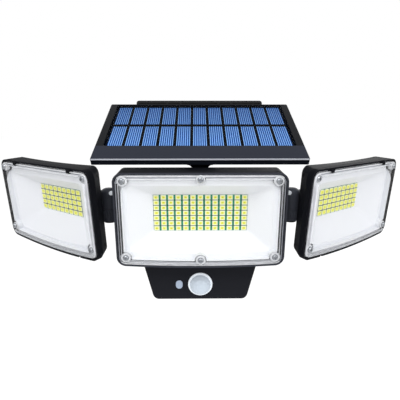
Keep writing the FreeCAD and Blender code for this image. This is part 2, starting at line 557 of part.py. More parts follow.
def battery_cells():
    out = []
    for z in CELLS:
        body = rod(V(-CELL_LEN / 2 + 1.2, CELL_Y, z), PX, CELL_R, CELL_LEN - 1.2)
        out.append(body.fuse(rod(V(-CELL_LEN / 2, CELL_Y, z), PX, 2.9, 1.4)).removeSplitter())
    return group(out)


def battery_holder():
    y0, y1 = CELL_Y - 4.0, CELL_Y + 11.5
    block = box(-36, 36, y0, y1, CELLS[1] - 11.0, CELLS[0] + 11.0)
    cuts = [rod(V(-33.4, CELL_Y, z), PX, CELL_R + 0.2, 66.8) for z in CELLS]
    cuts.append(box(-33.4, 33.4, y0 - 1, CELL_Y, CELLS[1] - CELL_R - 0.2, CELLS[1] + CELL_R + 0.2))
    cuts.append(box(-33.4, 33.4, y0 - 1, CELL_Y, CELLS[0] - CELL_R - 0.2, CELLS[0] + CELL_R + 0.2))
    legs = [rod(V(x, y1 - 0.5, z), PY, 3.0, BODY_BACK - BODY_WALL - y1 + 0.5)
            for x in (-18.0, 18.0) for z in (CELLS[1], CELLS[0] - 2)]
    return union([block.cut(group(cuts))] + legs)


def control_board():
    y0 = BOARD_Y
    solid = box(-36, 36, y0, y0 + 1.6, FACE_Z - 81.5, FACE_Z - 51.0)
    chips = [box(-20, -8, y0 + 1.5, y0 + 3.6, FACE_Z - 76, FACE_Z - 66),
             box(22, 31, y0 + 1.5, y0 + 6.5, FACE_Z - 78, FACE_Z - 70),
             rod(V(14, y0 + 1.5, FACE_Z - 62), PY, 4.0, 9.0),
             rod(V(-28, y0 + 1.5, FACE_Z - 60), PY, 3.0, 5.0)]
    return union([solid] + chips)


def pir_sensor():
    y0 = BOARD_Y
    can = rod(V(PIR.x, y0 - 0.6, PIR.z), PY, 4.9, 0.6).fuse(rod(V(PIR.x, y0 - 4.4, PIR.z), PY, 4.2, 3.9))
    return can.cut(box(PIR.x - 2.0, PIR.x + 2.0, y0 - 5, y0 - 4.0, PIR.z - 1.5, PIR.z + 1.5)).removeSplitter()


def pir_lens():
    """Domed lens shell with an outer flange and a collar through the face."""
    base, rise, t = 10.2, 8.3, 1.1
    big = (base * base + rise * rise) / (2 * rise)
    y0 = SENSOR_FACE - 0.9
    c = V(PIR.x, y0 + big - rise, PIR.z)
    ball = Part.makeSphere(big, c).common(box(-20, 20, y0 - 20, y0 + 0.01, PIR.z - 20, PIR.z + 20))
    flange = rod(V(PIR.x, y0, PIR.z), PY, 11.3, 0.9)
    collar = rod(V(PIR.x, y0, PIR.z), PY, base, 4.6)
    solid = union([ball, flange, collar])
    hollow = Part.makeSphere(big - t, c).common(box(-20, 20, y0 - 20, y0 + 0.6, PIR.z - 20, PIR.z + 20))
    return solid.cut(hollow.fuse(rod(V(PIR.x, y0 + 0.3, PIR.z), PY, base - t, 6.0)))


def sensor_window():
    plug = oval(WINDOW, 3.1, 4.1, SENSOR_FACE - 0.4, SENSOR_FACE + BODY_WALL + 0.01)
    return plug.fuse(oval(WINDOW, 4.4, 5.4, SENSOR_FACE + BODY_WALL, SENSOR_FACE + 3.5)).removeSplitter()


def light_sensor():
    y1 = BOARD_Y
    return rod(V(WINDOW.x, y1 - 6.0, WINDOW.z), PY, 2.4, 6.0).fuse(
        Part.makeSphere(2.4, V(WINDOW.x, y1 - 6.0, WINDOW.z))).removeSplitter()


def mode_button():
    """Round push cap with a dished top and a retaining flange above the floor."""
    z0 = BODY_LOW - 1.3
    cap = rod(V(BUTTON.x, BUTTON.y, z0), PZ, 4.75, 4.2)
    cap = cap.makeFillet(0.6, [e for e in cap.Edges if e.BoundBox.ZMax < z0 + 1e-6])
    cap = cap.fuse(rod(V(BUTTON.x, BUTTON.y, BODY_LOW + BODY_WALL + 0.1), PZ, 6.2, 1.4))
    dish = Part.makeSphere(14.0, V(BUTTON.x, BUTTON.y, z0 - 13.4))
    return cap.cut(dish).removeSplitter()


def button_boot():
    """Rubber bellows round the switch that pushes the button back."""
    z0, z1 = BUTTON_TOP, SWITCH_Z
    h = (z1 - z0) / 4.0
    line = [(6.0, z0), (6.0, z0 + 0.9), (5.2, z0 + h), (6.6, z0 + 2 * h), (5.2, z0 + 3 * h),
            (6.6, z1 - 0.9), (6.6, z1)]
    wall = [(r - 0.7, z) for r, z in reversed(line)]
    pts = [V(r, 0, z) for r, z in line + wall]
    boot = Part.Face(Part.makePolygon(pts + [pts[0]])).revolve(V(0, 0, 0), PZ, 360)
    return moved(boot, V(BUTTON.x, BUTTON.y, 0))


def tact_switch():
    board = box(-12.4, 12.4, BUTTON.y - 8, BUTTON.y + 8, SWITCH_Z, SWITCH_Z + 1.4)
    case = box(-3.0, 3.0, BUTTON.y - 3, BUTTON.y + 3, SWITCH_Z - 3.2, SWITCH_Z)
    return union([board, case, rod(V(0, BUTTON.y, SWITCH_Z - 6.2), PZ, 1.7, 3.2)])


# ---------------------------------------------------------------- right-hand arm, pin and knuckle
def arm_outline(inset, za, zb):
    """Arm in plan: from the flange forwards beside the centre head, then a straight run to the barrel."""
    cx, cy, r = BARREL.x, BARREL.y, BARREL_R - inset
    x = BODY_W + 1.3 + inset
    near, far = FACE_Y + 57.5 + 1.3 * inset, FACE_Y + 83.0 - inset
    d = V(x - cx, far - cy, 0)
    touch = math.atan2(d.y, d.x) - math.acos(r / d.Length)
    points = [V(x, near, za), V(cx - r, FACE_Y + 30.5 + 0.5 * inset, za), V(cx - r, cy, za),
              V(cx + r * math.cos(touch), cy + r * math.sin(touch), za), V(x, far, za)]
    return prism(points, V(0, 0, zb - za)).fuse(rod(V(cx, cy, za), PZ, r, zb - za))


def arm():
    """Gusset arm from the body's side to the barrel, webbed, with a grooved barrel at its end."""
    z0, z1 = BARREL.z + ARM_LOW, BARREL.z + ARM_HIGH
    c, r = V(BARREL.x, BARREL.y, 0), BARREL_R
    x0 = BODY_W + 0.3
    solid = arm_outline(0.0, z0, z1)
    ring = rod(V(c.x, c.y, z0 - 1), PZ, r + 1.4, 20)
    for za, zb in ((z0 - 1, z0 + 3.8), (z1 - 3.8, z1 + 1)):
        solid = solid.cut(arm_outline(2.0, za, zb).cut(ring))
    sweep = Part.makeCylinder(16.0, 20, V(c.x, c.y, z0 - 1), PZ, 92.0)
    sweep = turned(sweep, -12.0, PZ, V(c.x, c.y, 0)).cut(rod(V(c.x, c.y, z0 - 2), PZ, r, 22))
    solid = solid.cut(sweep)
    flange = box(x0, x0 + 3.0, FACE_Y + 55.5, FACE_Y + 84.5, FACE_Z - 12.5, FACE_Z + 12.5)
    flange = flange.makeFillet(3.0, [e for e in flange.Edges if e.BoundBox.XLength > 2.9])
    solid = union([solid, flange])
    flutes = []
    for i in range(-8, 3):
        a, reach = math.radians(i * 15.0), r + 0.15
        flutes.append(rod(V(c.x + reach * math.cos(a), c.y + reach * math.sin(a), z0 + 1.2), PZ, 0.45, 8.1))
    solid = solid.cut(group(flutes))
    solid = solid.cut(rod(V(c.x, c.y, z0 - 1), PZ, 3.22, 20))
    return solid.cut(group([rod(V(x0 - 1, y, z), PX, 1.7, 6.0) for y, z in ARM_SCREWS]))


def arm_screws():
    x0 = BODY_W + 3.3   # outer face of the arm's flange
    return group([pan_screw(V(x0, y, z), V(-1, 0, 0), 1.5, 7.5, 2.5, 1.5) for y, z in ARM_SCREWS])


def swivel_pin():
    pin = rod(V(0, 0, ARM_LOW - 1.6), PZ, 5.2, 1.6).fuse(rod(V(0, 0, ARM_LOW), PZ, 3.2, 2.4 - ARM_LOW))
    return moved(pin.removeSplitter(), BARREL)


def knuckle():
    """Domed barrel with an eye beside its axis, a web behind the head and a spindle for the head's lugs."""
    z0, z1 = ARM_HIGH + 0.3, 9.2
    barrel = rod(V(0, 0, z0), PZ, BARREL_R, z1 - z0)
    barrel = barrel.makeFillet(5.0, [e for e in barrel.Edges if e.BoundBox.ZMin > z1 - 1e-6])
    inner = BARREL_R + 0.7
    web = prism([V(0, -2.5, 4.6), V(9.0, -2.5, 5.2), V(14.5, -2.5, 5.2), V(14.5, -2.5, ARM_LOW + 1.4),
                 V(13.0, -2.5, ARM_LOW), V(inner, -2.5, ARM_LOW), V(inner, -2.5, z0),
                 V(0, -2.5, z0)], V(0, 5.0, 0))
    web = web.cut(rod(V(0, 0, -30), PZ, inner, 30.0 + z0))
    neck = rod(V(3, 0, 0), PX, 6.2, 14.4)
    spindle = rod(V(3, 0, 0), PX, 4.6, 38.0)
    solid = union([barrel, web, neck, spindle])
    s = math.radians(SIDE_SWIVEL)
    look, across = V(math.sin(s), math.cos(s), 0), V(-math.cos(s), math.sin(s), 0)
    solid = solid.cut(rod(look * -12 + across * 3.4 + V(0, 0, 5.9), look, 1.8, 24))
    solid = solid.cut(rod(V(0, 0, -30), PZ, 3.28, 33.0))
    return solid.cut(rod(V(30, 0, 0), PX, 1.62, 14))


def tilt_screw():
    washer = rod(V(41.0, 0, 0), PX, 6.2, 0.8).cut(rod(V(40, 0, 0), PX, 1.75, 3))
    return group([washer, pan_screw(V(41.8, 0, 0), V(-1, 0, 0), 1.6, 10.0, 3.0, 1.8)])


def pivot_screws():
    out = []
    for s in (-1, 1):
        p = V(s * 28.4, PIVOT.y, PIVOT.z)
        out.append(pan_screw(p, V(-s, 0, 0), 2.5, 15.6, 4.4, 2.2))
    return group(out)


# ---------------------------------------------------------------- nodes
def head_nodes(name, h, place, lugs):
    return {
        name + "_housing": place(head_housing(h, lugs)),
        name + "_seal": place(head_seal(h)),
        name + "_reflector": place(head_reflector(h)),
        name + "_led_board": place(head_board(h)),
        name + "_leds": place(head_leds(h)),
        name + "_cover": place(head_cover(h)),
        name + "_cover_screws": place(head_screws(h)),
    }


def all_nodes():
    nodes = {
        "wall_plate": wall_plate(),
        "bracket_screws": bracket_screws(),
        "rear_cover": rear_cover(),
        "body_seal": body_seal(),
        "body_front": body_front(),
        "body_screws": body_screws(),
        "battery_cells": battery_cells(),
        "battery_holder": battery_holder(),
        "control_board": control_board(),
        "pir_sensor": pir_sensor(),
        "pir_lens": pir_lens(),
        "light_sensor": light_sensor(),
        "sensor_window": sensor_window(),
        "mode_button": mode_button(),
        "button_boot": button_boot(),
        "tact_switch": tact_switch(),
        "pivot_screws": pivot_screws(),
        "panel_neck": panel_neck(),
        "neck_screws": neck_screws(),
        "panel_lead": panel_lead(),
        "panel_screws": panel_screws(),
        "panel_frame": panel_place(panel_frame()),
        "panel_cover": panel_place(panel_cover()),
        "solar_sheet": panel_place(solar_sheet()),
        "solar_cells": panel_place(solar_cells()),
        "solar_glass": panel_place(solar_glass()),
    }
    lugs = [lug(x, x + 7.0, HEAD_PIVOT, 0.0, 7.0, 2.58, 33.6, 11.0) for x in (-21.0, 14.0)]
    nodes.update(head_nodes("centre", CENTRE, centre_place, lugs))
    lugs = [lug(x, x + 6.5, -SIDE_OFFSET.y, -SIDE_OFFSET.z, 7.4, 4.68, 25.6, 11.0) for x in (-23.8, -7.8)]
    right = head_nodes("right", SIDE, side_place, lugs)
    right["right_arm"] = arm()
    right["right_arm_screws"] = arm_screws()
    right["right_swivel_pin"] = swivel_pin()
    right["right_knuckle"] = swivel_place(knuckle())
    right["right_tilt_screw"] = swivel_place(tilt_screw())
    for name, shape in right.items():
        nodes[name] = shape
        nodes[name.replace("right", "left")] = shape.mirror(V(0, 0, 0), PX)
    return nodes


os.makedirs("parts", exist_ok=True)
for node, shape in sorted(all_nodes().items()):
    shape.exportStep("parts/" + node + ".step")
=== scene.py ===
"""Looks of the three-headed solar security light: finishes of the solids and the fine pieces on them."""

import json
import math

import bpy
import numpy as np
from mathutils import Matrix, Vector


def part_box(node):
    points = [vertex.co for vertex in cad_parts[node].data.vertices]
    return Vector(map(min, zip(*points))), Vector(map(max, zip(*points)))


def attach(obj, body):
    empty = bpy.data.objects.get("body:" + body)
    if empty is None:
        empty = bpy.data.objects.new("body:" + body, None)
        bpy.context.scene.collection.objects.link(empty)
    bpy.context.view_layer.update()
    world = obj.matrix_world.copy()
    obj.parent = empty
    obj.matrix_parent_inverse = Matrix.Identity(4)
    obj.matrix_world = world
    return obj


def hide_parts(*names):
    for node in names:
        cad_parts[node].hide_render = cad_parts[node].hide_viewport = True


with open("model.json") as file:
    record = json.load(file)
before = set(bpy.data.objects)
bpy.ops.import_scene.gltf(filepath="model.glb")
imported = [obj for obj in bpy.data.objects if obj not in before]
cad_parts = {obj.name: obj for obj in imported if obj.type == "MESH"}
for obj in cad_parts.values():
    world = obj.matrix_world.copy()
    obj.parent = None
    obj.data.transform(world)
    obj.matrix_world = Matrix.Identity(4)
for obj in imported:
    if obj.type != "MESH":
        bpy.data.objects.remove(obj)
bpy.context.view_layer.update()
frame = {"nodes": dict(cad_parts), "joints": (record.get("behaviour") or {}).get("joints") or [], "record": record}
nodes = frame["nodes"]

MM = 0.001      # metres in a millimetre


def in_mm(metres):
    """Places from the frame in millimetres, to a thousandth of one."""
    return np.round(np.array(metres) / MM, 3)


# ---------------------------------------------------------------- places, in mm and degrees
JOINTS = {joint["name"]: joint for joint in frame["joints"]}
BARREL = in_mm(JOINTS["right_swivel_turn"]["pos_m"])
SPINDLE = JOINTS["right_tilt"]["axis"]
SIDE_SWIVEL = round(math.degrees(math.atan2(SPINDLE[1], SPINDLE[0])), 2)
SIDE_TILT = 3.06
SIDE_OFFSET = np.array([41.8, -33.7, -3.5])             # barrel to a side head's face, in the head's frame
MIRROR = np.array([-1.0, 1.0, 1.0])                     # the left head is the right one mirrored
FACE_Y, FACE_Z = BARREL[1] - 20.0, BARREL[2] - 13.6     # face of the centre head
CENTRE_TILT = 1.33

PANEL_TILT = 27.33
PANEL_FRONT = np.array([0.0, FACE_Y + 19.6, FACE_Z + 47.2])
APRON_LENGTH = 21.0                                     # from the panel's front edge to its window
CELL_COLS, CELL_ROWS = 11, 2
CELL_GAP, ROW_GAP = 1.8, 3.0
CELL_X = in_mm(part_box("solar_cells")[1])[0]             # half width of the field of cells
CELL_FRONT, CELL_BACK = 23.5, 97.7                      # its front and back, up the slope
CELL_TOP = -2.2                                         # its face, measured from the panel's top
CELL_WIDTH = (2 * CELL_X - (CELL_COLS - 1) * CELL_GAP) / CELL_COLS
CELL_LENGTH = (CELL_BACK - CELL_FRONT - ROW_GAP) / CELL_ROWS

LENS = np.array([0.0, FACE_Y + 26.1, FACE_Z - 70.0])    # middle of the sensor lens, level with its flange
LENS_BASE, LENS_RISE, LENS_FLANGE = 10.2, 8.3, 11.3
LED_PITCH = (6.3, 4.6)
SINK = 0.02                                             # how far a laid-on piece reaches into its ground

# A head's rim: half width and height, height of its middle, belly of its lower edge, radius of its corners.
# Its diodes: columns and rows, depth of their faces, middle of the field, pads and cores of yellow gel, and
# the width of its dark lines of painted shade between the rows.
# Its cover: inset of the bead, radius of the frosted pads, places of the screws.
HEADS = {
    "centre": dict(half_width=70.0, half_height=39.6, middle=-0.6, belly=1.9, corner=8.0,
                   cols=13, rows=7, depth=18.2, shift=(0.0, 0.7), gel=(4.3, 3.5), core=(2.9, 2.3),
                   solder=0.55, bead=2.05, pad=4.2,
                   screws=[(-62.1, 32.4), (62.1, 32.4), (-62.1, -32.4), (62.1, -32.4),
                           (0.0, 33.6), (0.0, -35.0)]),
    "side": dict(half_width=62.4, half_height=36.6, middle=-1.0, belly=2.3, corner=8.0,
                 cols=9, rows=5, depth=14.0, shift=(-2.0, 2.1), gel=(5.6, 4.0), core=(4.3, 3.1),
                 solder=0.8, bead=2.5, pad=3.5,
                 screws=[(-55.7, 29.0), (55.7, 29.0), (-55.7, -28.0), (55.7, -28.0)]),
}


def head_of(name):
    """Measures of a head; the two side heads share theirs."""
    return HEADS["centre" if name == "centre" else "side"]


def turn(axis, degrees):
    """Rotation about an axis of the frame."""
    return np.array(Matrix.Rotation(math.radians(degrees), 3, axis))


def on_centre(points):
    """Centre head's own frame to the light's: tipped by its tilt, then moved to its face."""
    return points @ turn("X", CENTRE_TILT).T + np.array([0.0, FACE_Y, FACE_Z])


def on_right(points):
    """Right head's own frame to the light's: tilt about the spindle, then swivel about the barrel."""
    tilted = (points + SIDE_OFFSET) @ turn("X", SIDE_TILT).T
    return tilted @ turn("Z", SIDE_SWIVEL).T + BARREL


def on_left(points):
    """Left head's own frame to the light's: the right head's place, mirrored."""
    return on_right(points) * MIRROR


def on_panel(points):
    """Panel's own frame, with y up its slope from the front edge and z off its top, to the light's."""
    return points @ turn("X", PANEL_TILT).T + PANEL_FRONT


PLACES = {"centre": on_centre, "right": on_right, "left": on_left}
SIDES = ("right", "left")


# ---------------------------------------------------------------- meshes from arrays
def grid_faces(rows, cols, close_rows=False):
    """Quads between neighbouring rows of a grid whose columns run round and join; rows may join as well."""
    row = np.arange(rows if close_rows else rows - 1)[:, None]
    col = np.arange(cols)[None, :]
    next_row, next_col = (row + 1) % rows, (col + 1) % cols
    corners = [row * cols + col, row * cols + next_col, next_row * cols + next_col, next_row * cols + col]
    return np.stack(corners, -1).reshape(-1, 4).tolist()


def outward(points, faces):
    """Faces of a closed mesh, turned round if its volume, as tetrahedra from the origin, is negative."""
    total = 0.0
    for face in faces:
        corners = points[face]
        first = np.broadcast_to(corners[0], corners[2:].shape)
        total += np.einsum("ij,ij->", np.cross(corners[1:-1], corners[2:]), first)
    return faces if total > 0 else [face[::-1] for face in faces]


def build(name, points, faces, body, materials, smooth=True, index=None):
    """Closed mesh piece from an (n, 3) array in mm and lists of corners; it rides on a CAD body.

    materials may hold several finishes, and index says which face has which."""
    faces = outward(points, faces)
    mesh = bpy.data.meshes.new(name)
    mesh.from_pydata((points * MM).tolist(), [], faces)
    mesh.polygons.foreach_set("use_smooth", np.broadcast_to(smooth, len(faces)).tolist())
    for material in materials:
        mesh.materials.append(material)
    if index is not None:
        mesh.polygons.foreach_set("material_index", index)
    mesh.update()
    piece = bpy.data.objects.new(name, mesh)
    bpy.context.scene.collection.objects.link(piece)
    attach(piece, body)
    return piece


def repeat(points, faces, places):
    """Copies of one shape: every copy is the shape's points plus its place."""
    all_points = (places[:, None, :] + points[None, :, :]).reshape(-1, 3)
    all_faces = [[copy * len(points) + k for k in face] for copy in range(len(places)) for face in faces]
    return all_points, all_faces


def bar(low, high):
    """Box between two opposite corners: four points on its lower layer, four on its upper one, six faces."""
    (x0, y0, z0), (x1, y1, z1) = low, high
    points = np.array([(x, y, z) for z in (z0, z1) for x, y in ((x0, y0), (x1, y0), (x1, y1), (x0, y1))])
    return points, [[3, 2, 1, 0], [4, 5, 6, 7], [0, 1, 5, 4], [1, 2, 6, 5], [2, 3, 7, 6], [3, 0, 4, 7]]


def turned(profile, sides):
    """Profile of radii and places on the y axis, turned round that axis: each of its points gives a ring."""
    profile = np.asarray(profile, float)
    around = np.linspace(0.0, 2 * np.pi, sides, endpoint=False)
    radius, y = profile[:, :1], np.broadcast_to(profile[:, 1:], (len(profile), sides))
    return np.stack([radius * np.cos(around), y, radius * np.sin(around)], -1).reshape(-1, 3)


def turned_faces(rings, sides):
    """Faces of a turned piece: quads between its rings and a flat end on its first and its last ring."""
    ends = [list(range(sides))[::-1], list(range((rings - 1) * sides, rings * sides))]
    return grid_faces(rings, sides) + ends


def washer(inner, outer, front, back, sides):
    """Closed ring about the y axis: a section with six corners, bevelled at the front, turned round."""
    bevel = 0.15 * (outer - inner)
    section = [(inner, back), (inner, front + bevel), (inner + bevel, front), (outer - bevel, front),
               (outer, front + bevel), (outer, back)]
    return turned(section, sides), grid_faces(len(section), sides, True)


def low_pad(width, height, rise, corner):
    """Low pad facing -y: rounded rectangles at its foot, half way up and at its rim, closed by flat ends.

    Each ring point is the corner's centre plus the corner radius along an even sweep of angles."""
    steps = 3
    angles = np.radians((np.arange(4)[:, None] * 90.0 + np.linspace(0.0, 90.0, steps)[None, :]).ravel())
    side_x, side_z = np.repeat([1, -1, -1, 1], steps), np.repeat([1, 1, -1, -1], steps)
    rings = []
    for inset, y in ((0.0, SINK), (0.0, -rise * 0.5), (corner * 0.5, -rise)):
        x = side_x * (width / 2 - corner) + (corner - inset) * np.cos(angles)
        z = side_z * (height / 2 - corner) + (corner - inset) * np.sin(angles)
        rings.append(np.stack([x, np.full_like(x, y), z], -1))
    return np.concatenate(rings), turned_faces(len(rings), 4 * steps)


RUN_POINTS, UP_POINTS, TURN_POINTS = 241, 121, 9        # on a level edge, an upright edge and a corner
TIGHTEST = 1.2                                          # least corner radius of an inset path


def face_path(head, inset):
    """Closed path round a lamp face, inset from its rim: straight runs, quarter turns that are tighter
    further in, and a lower edge that hangs by the belly times one minus the square of the way from its
    middle."""
    across, up = head["half_width"] - inset, head["half_height"] - inset
    corner = max(TIGHTEST, head["corner"] - inset)
    flat, tall = across - corner, up - corner
    run = np.linspace(-1.0, 1.0, RUN_POINTS)
    rise = np.linspace(-1.0, 1.0, UP_POINTS)
    quarter = np.linspace(0.0, np.pi / 2, TURN_POINTS)[1:-1]
    sine, cosine = corner * np.sin(quarter), corner * np.cos(quarter)
    parts = [(run * flat, np.full(RUN_POINTS, up)),
             (flat + sine, tall + cosine),
             (np.full(UP_POINTS, across), -rise * tall),
             (flat + cosine, -tall - sine),
             (-run * flat, -up - head["belly"] * (1 - run ** 2)),
             (-flat - sine, -tall - cosine),
             (np.full(UP_POINTS, -across), rise * tall),
             (-flat - cosine, tall + sine)]
    return np.concatenate([np.stack(part, -1) for part in parts]) + np.array([0.0, head["middle"]])


def bitten(path, spots, radius):
    """The path with a round bite at each spot: points inside the circle move onto its inner side, evenly
    spaced by angle."""
    out = path.copy()
    for spot in np.asarray(spots, float):
        inside = np.hypot(*(out - spot).T) < radius
        if not inside.any():
            continue
        start = int(np.flatnonzero(inside & ~np.roll(inside, 1))[0])
        moved = (start + np.arange(int(inside.sum()))) % len(path)
        before, after = out[(moved[0] - 1) % len(path)] - spot, out[(moved[-1] + 1) % len(path)] - spot
        begin, end = np.arctan2(before[1], before[0]), np.arctan2(after[1], after[0])
        end = begin + (end - begin) % (2 * np.pi)
        middle = spot + radius * np.array([np.cos((begin + end) / 2), np.sin((begin + end) / 2)])
        if np.hypot(*middle) > np.hypot(*spot):
            end -= 2 * np.pi
        sweep = begin + (end - begin) * (np.arange(len(moved)) + 0.5) / len(moved)
        out[moved] = spot + radius * np.stack([np.cos(sweep), np.sin(sweep)], -1)
    return out


BENDS_FROM, GROOVE_END = 2.7, 4.4       # insets: a cover's bends round its screws begin, its groove ends
BEAD_BEND, LIP_BEND = 2.9, 3.9          # radius of the bends at these two insets


def screw_path(head, inset):
    """Path round a lamp face that bends round the screws, more tightly in the bead than in groove and lip."""
    if inset < GROOVE_END:
        radius = BEAD_BEND + 0.6 * (inset - BENDS_FROM)
    else:
        radius = LIP_BEND + 0.5 * (inset - GROOVE_END)
    return bitten(face_path(head, inset), head["screws"], radius)


# ---------------------------------------------------------------- materials
def linear(colour):
    """sRGB hex to linear red, green, blue and alpha."""
    levels = np.array([int(colour[at:at + 2], 16) for at in (1, 3, 5)]) / 255.0
    levels = np.where(levels <= 0.04045, levels / 12.92, ((levels + 0.055) / 1.055) ** 2.4)
    return (*levels.tolist(), 1.0)


WHITE = linear("#ffffff")


def add(tree, kind, links=None, values=None, **settings):
    """Adds a node, sets its attributes and input values, and links its inputs to other nodes' outputs."""
    node = tree.nodes.new(kind)
    for key, setting in settings.items():
        setattr(node, key, setting)
    for key, value in (values or {}).items():
        node.inputs[key].default_value = value
    for key, output in (links or {}).items():
        tree.links.new(output, node.inputs[key])
    return node


def new_material(name):
    """Material without nodes, and its tree."""
    material = bpy.data.materials.new(name)
    material.use_nodes = True
    material.node_tree.nodes.clear()
    return material, material.node_tree


def finished(material, shader):
    """The material with the shader on its surface."""
    add(material.node_tree, "ShaderNodeOutputMaterial", {"Surface": shader})
    return material


GRAIN = dict(Detail=3.0)        # every grain here is finer on the real part and drawn coarse enough to show
CLOUD_MM = 22.0                 # size of the patches in which a moulding's gloss is uneven
GLOSS_SPREAD = 0.06             # how far its roughness strays
WEAR_MM = 1.5                   # size of the patches in which a bare metal's gloss is worn


def moulded(name, colour, rough, grain_mm, depth_mm, specular=0.5, **glow):
    """Moulded or coated surface: one colour, a little uneven gloss, and the grain of the mould or coat."""
    material, tree = new_material(name)
    at = add(tree, "ShaderNodeTexCoord").outputs["Object"]
    cloud = add(tree, "ShaderNodeTexNoise", {"Vector": at}, {"Scale": 1.0 / (CLOUD_MM * MM), "Detail": 2.0})
    gloss = add(tree, "ShaderNodeMapRange", {"Value": cloud.outputs["Fac"]},
                {"To Min": rough - GLOSS_SPREAD, "To Max": rough + GLOSS_SPREAD})
    grain = add(tree, "ShaderNodeTexNoise", {"Vector": at}, {"Scale": 1.0 / (grain_mm * MM), **GRAIN})
    bump = add(tree, "ShaderNodeBump", {"Height": grain.outputs["Fac"]},
               {"Strength": 0.5, "Distance": depth_mm * MM})
    shader = add(tree, "ShaderNodeBsdfPrincipled",
                 {"Roughness": gloss.outputs["Result"], "Normal": bump.outputs["Normal"]},
                 {"Base Color": linear(colour), "Specular IOR Level": specular, **glow})
    return finished(material, shader.outputs["BSDF"])


def painted_glow(colour, strength):
    """Painted glow: an even emission that stands in for the light milky plastic passes on to its whole face."""
    return {"Emission Color": linear(colour), "Emission Strength": strength}


def clear_sheet(name, rough, gloss_share, least):
    """Clear plastic sheet: light goes straight through, apart from a gloss whose share is the least share
    plus one that grows with the fourth power of how far the sheet is turned away."""
    material, tree = new_material(name)
    through = add(tree, "ShaderNodeBsdfTransparent", values={"Color": WHITE})
    gloss = add(tree, "ShaderNodeBsdfGlossy", values={"Roughness": rough})
    facing = add(tree, "ShaderNodeLayerWeight", values={"Blend": 0.5})
    low = add(tree, "ShaderNodeMath", {0: facing.outputs["Facing"]}, {1: 4.0}, operation="POWER")
    share = add(tree, "ShaderNodeMath", {0: low.outputs[0]}, {1: gloss_share, 2: least},
                operation="MULTIPLY_ADD")
    mix = add(tree, "ShaderNodeMixShader",
              {"Fac": share.outputs[0], 1: through.outputs[0], 2: gloss.outputs[0]})
    return finished(material, mix.outputs[0])


def cloudy(name, colour, rough, through_share, grain_mm):
    """Plastic that lets a share of the light straight through, a tenth more or less from place to place, and
    scatters the rest in its own colour."""
    material, tree = new_material(name)
    at = add(tree, "ShaderNodeTexCoord").outputs["Object"]
    grain = add(tree, "ShaderNodeTexNoise", {"Vector": at}, {"Scale": 1.0 / (grain_mm * MM), **GRAIN})
    share = add(tree, "ShaderNodeMapRange", {"Value": grain.outputs["Fac"]},
                {"From Min": 0.3, "From Max": 0.7,
                 "To Min": 1.1 - through_share, "To Max": 0.9 - through_share})
    through = add(tree, "ShaderNodeBsdfTransparent", values={"Color": WHITE})
    body = add(tree, "ShaderNodeBsdfPrincipled", values={"Base Color": linear(colour), "Roughness": rough})
    mix = add(tree, "ShaderNodeMixShader",
              {"Fac": share.outputs["Result"], 1: through.outputs[0], 2: body.outputs["BSDF"]})
    return finished(material, mix.outputs[0])


def bright_steel(name, colour, rough):
    """Bare or plated steel: a metal whose gloss is worn a little unevenly, in small patches."""
    material, tree = new_material(name)
    at = add(tree, "ShaderNodeTexCoord").outputs["Object"]
    wear = add(tree, "ShaderNodeTexNoise", {"Vector": at}, {"Scale": 1.0 / (WEAR_MM * MM), **GRAIN})
    gloss = add(tree, "ShaderNodeMapRange", {"Value": wear.outputs["Fac"]},
                {"To Min": rough - GLOSS_SPREAD, "To Max": rough + 0.1})
    shader = add(tree, "ShaderNodeBsdfPrincipled", {"Roughness": gloss.outputs["Result"]},
                 {"Base Color": linear(colour), "Metallic": 1.0})
    return finished(material, shader.outputs["BSDF"])


def own_frame(tree, at, spot, degrees):
    """Object coordinates carried into the frame of a part that stands at a spot in mm, turned by angles."""
    own = add(tree, "ShaderNodeMapping", {"Vector": at},
              {"Location": tuple(spot * MM), "Rotation": tuple(math.radians(d) for d in degrees)},
              vector_type="TEXTURE")
    return add(tree, "ShaderNodeSeparateXYZ", {"Vector": own.outputs["Vector"]}).outputs


def between(tree, place, low, high):
    """1 where a place lies between two places in mm, else 0."""
    above = add(tree, "ShaderNodeMath", {0: place}, {1: low * MM}, operation="GREATER_THAN")
    below = add(tree, "ShaderNodeMath", {0: place}, {1: high * MM}, operation="LESS_THAN")
    both = add(tree, "ShaderNodeMath", {0: above.outputs[0], 1: below.outputs[0]}, operation="MULTIPLY")
    return both.outputs[0]


def mixed(tree, share, base, over):
    """Colour that is base, an output or a hex colour, where the share is 0, and the hex colour over where it
    is 1."""
    links, values = {"Factor": share}, {"B": linear(over)}
    if isinstance(base, str):
        values["A"] = linear(base)
    else:
        links["A"] = base
    return add(tree, "ShaderNodeMix", links, values, data_type="RGBA").outputs["Result"]


BEFORE = -1.0           # mm, in front of every edge that has a finish of its own
PAINTED_RIM_HIGHLIGHT = 0.35           # mm of a housing's front rim that carries a painted highlight
PAINTED_SHEEN_FROM = 27.0           # mm behind the face, where the painted sheen on a housing's back begins
MOULD_GRAIN = 1.3       # mm between the grains of a satin mould as drawn, about ten times the real ones
MOULD_DEPTH = 0.02      # mm, depth of that grain
BEYOND = 80.0           # mm, past the end of every housing
HOUSING_ROUGH = 0.55    # middle roughness of the housings


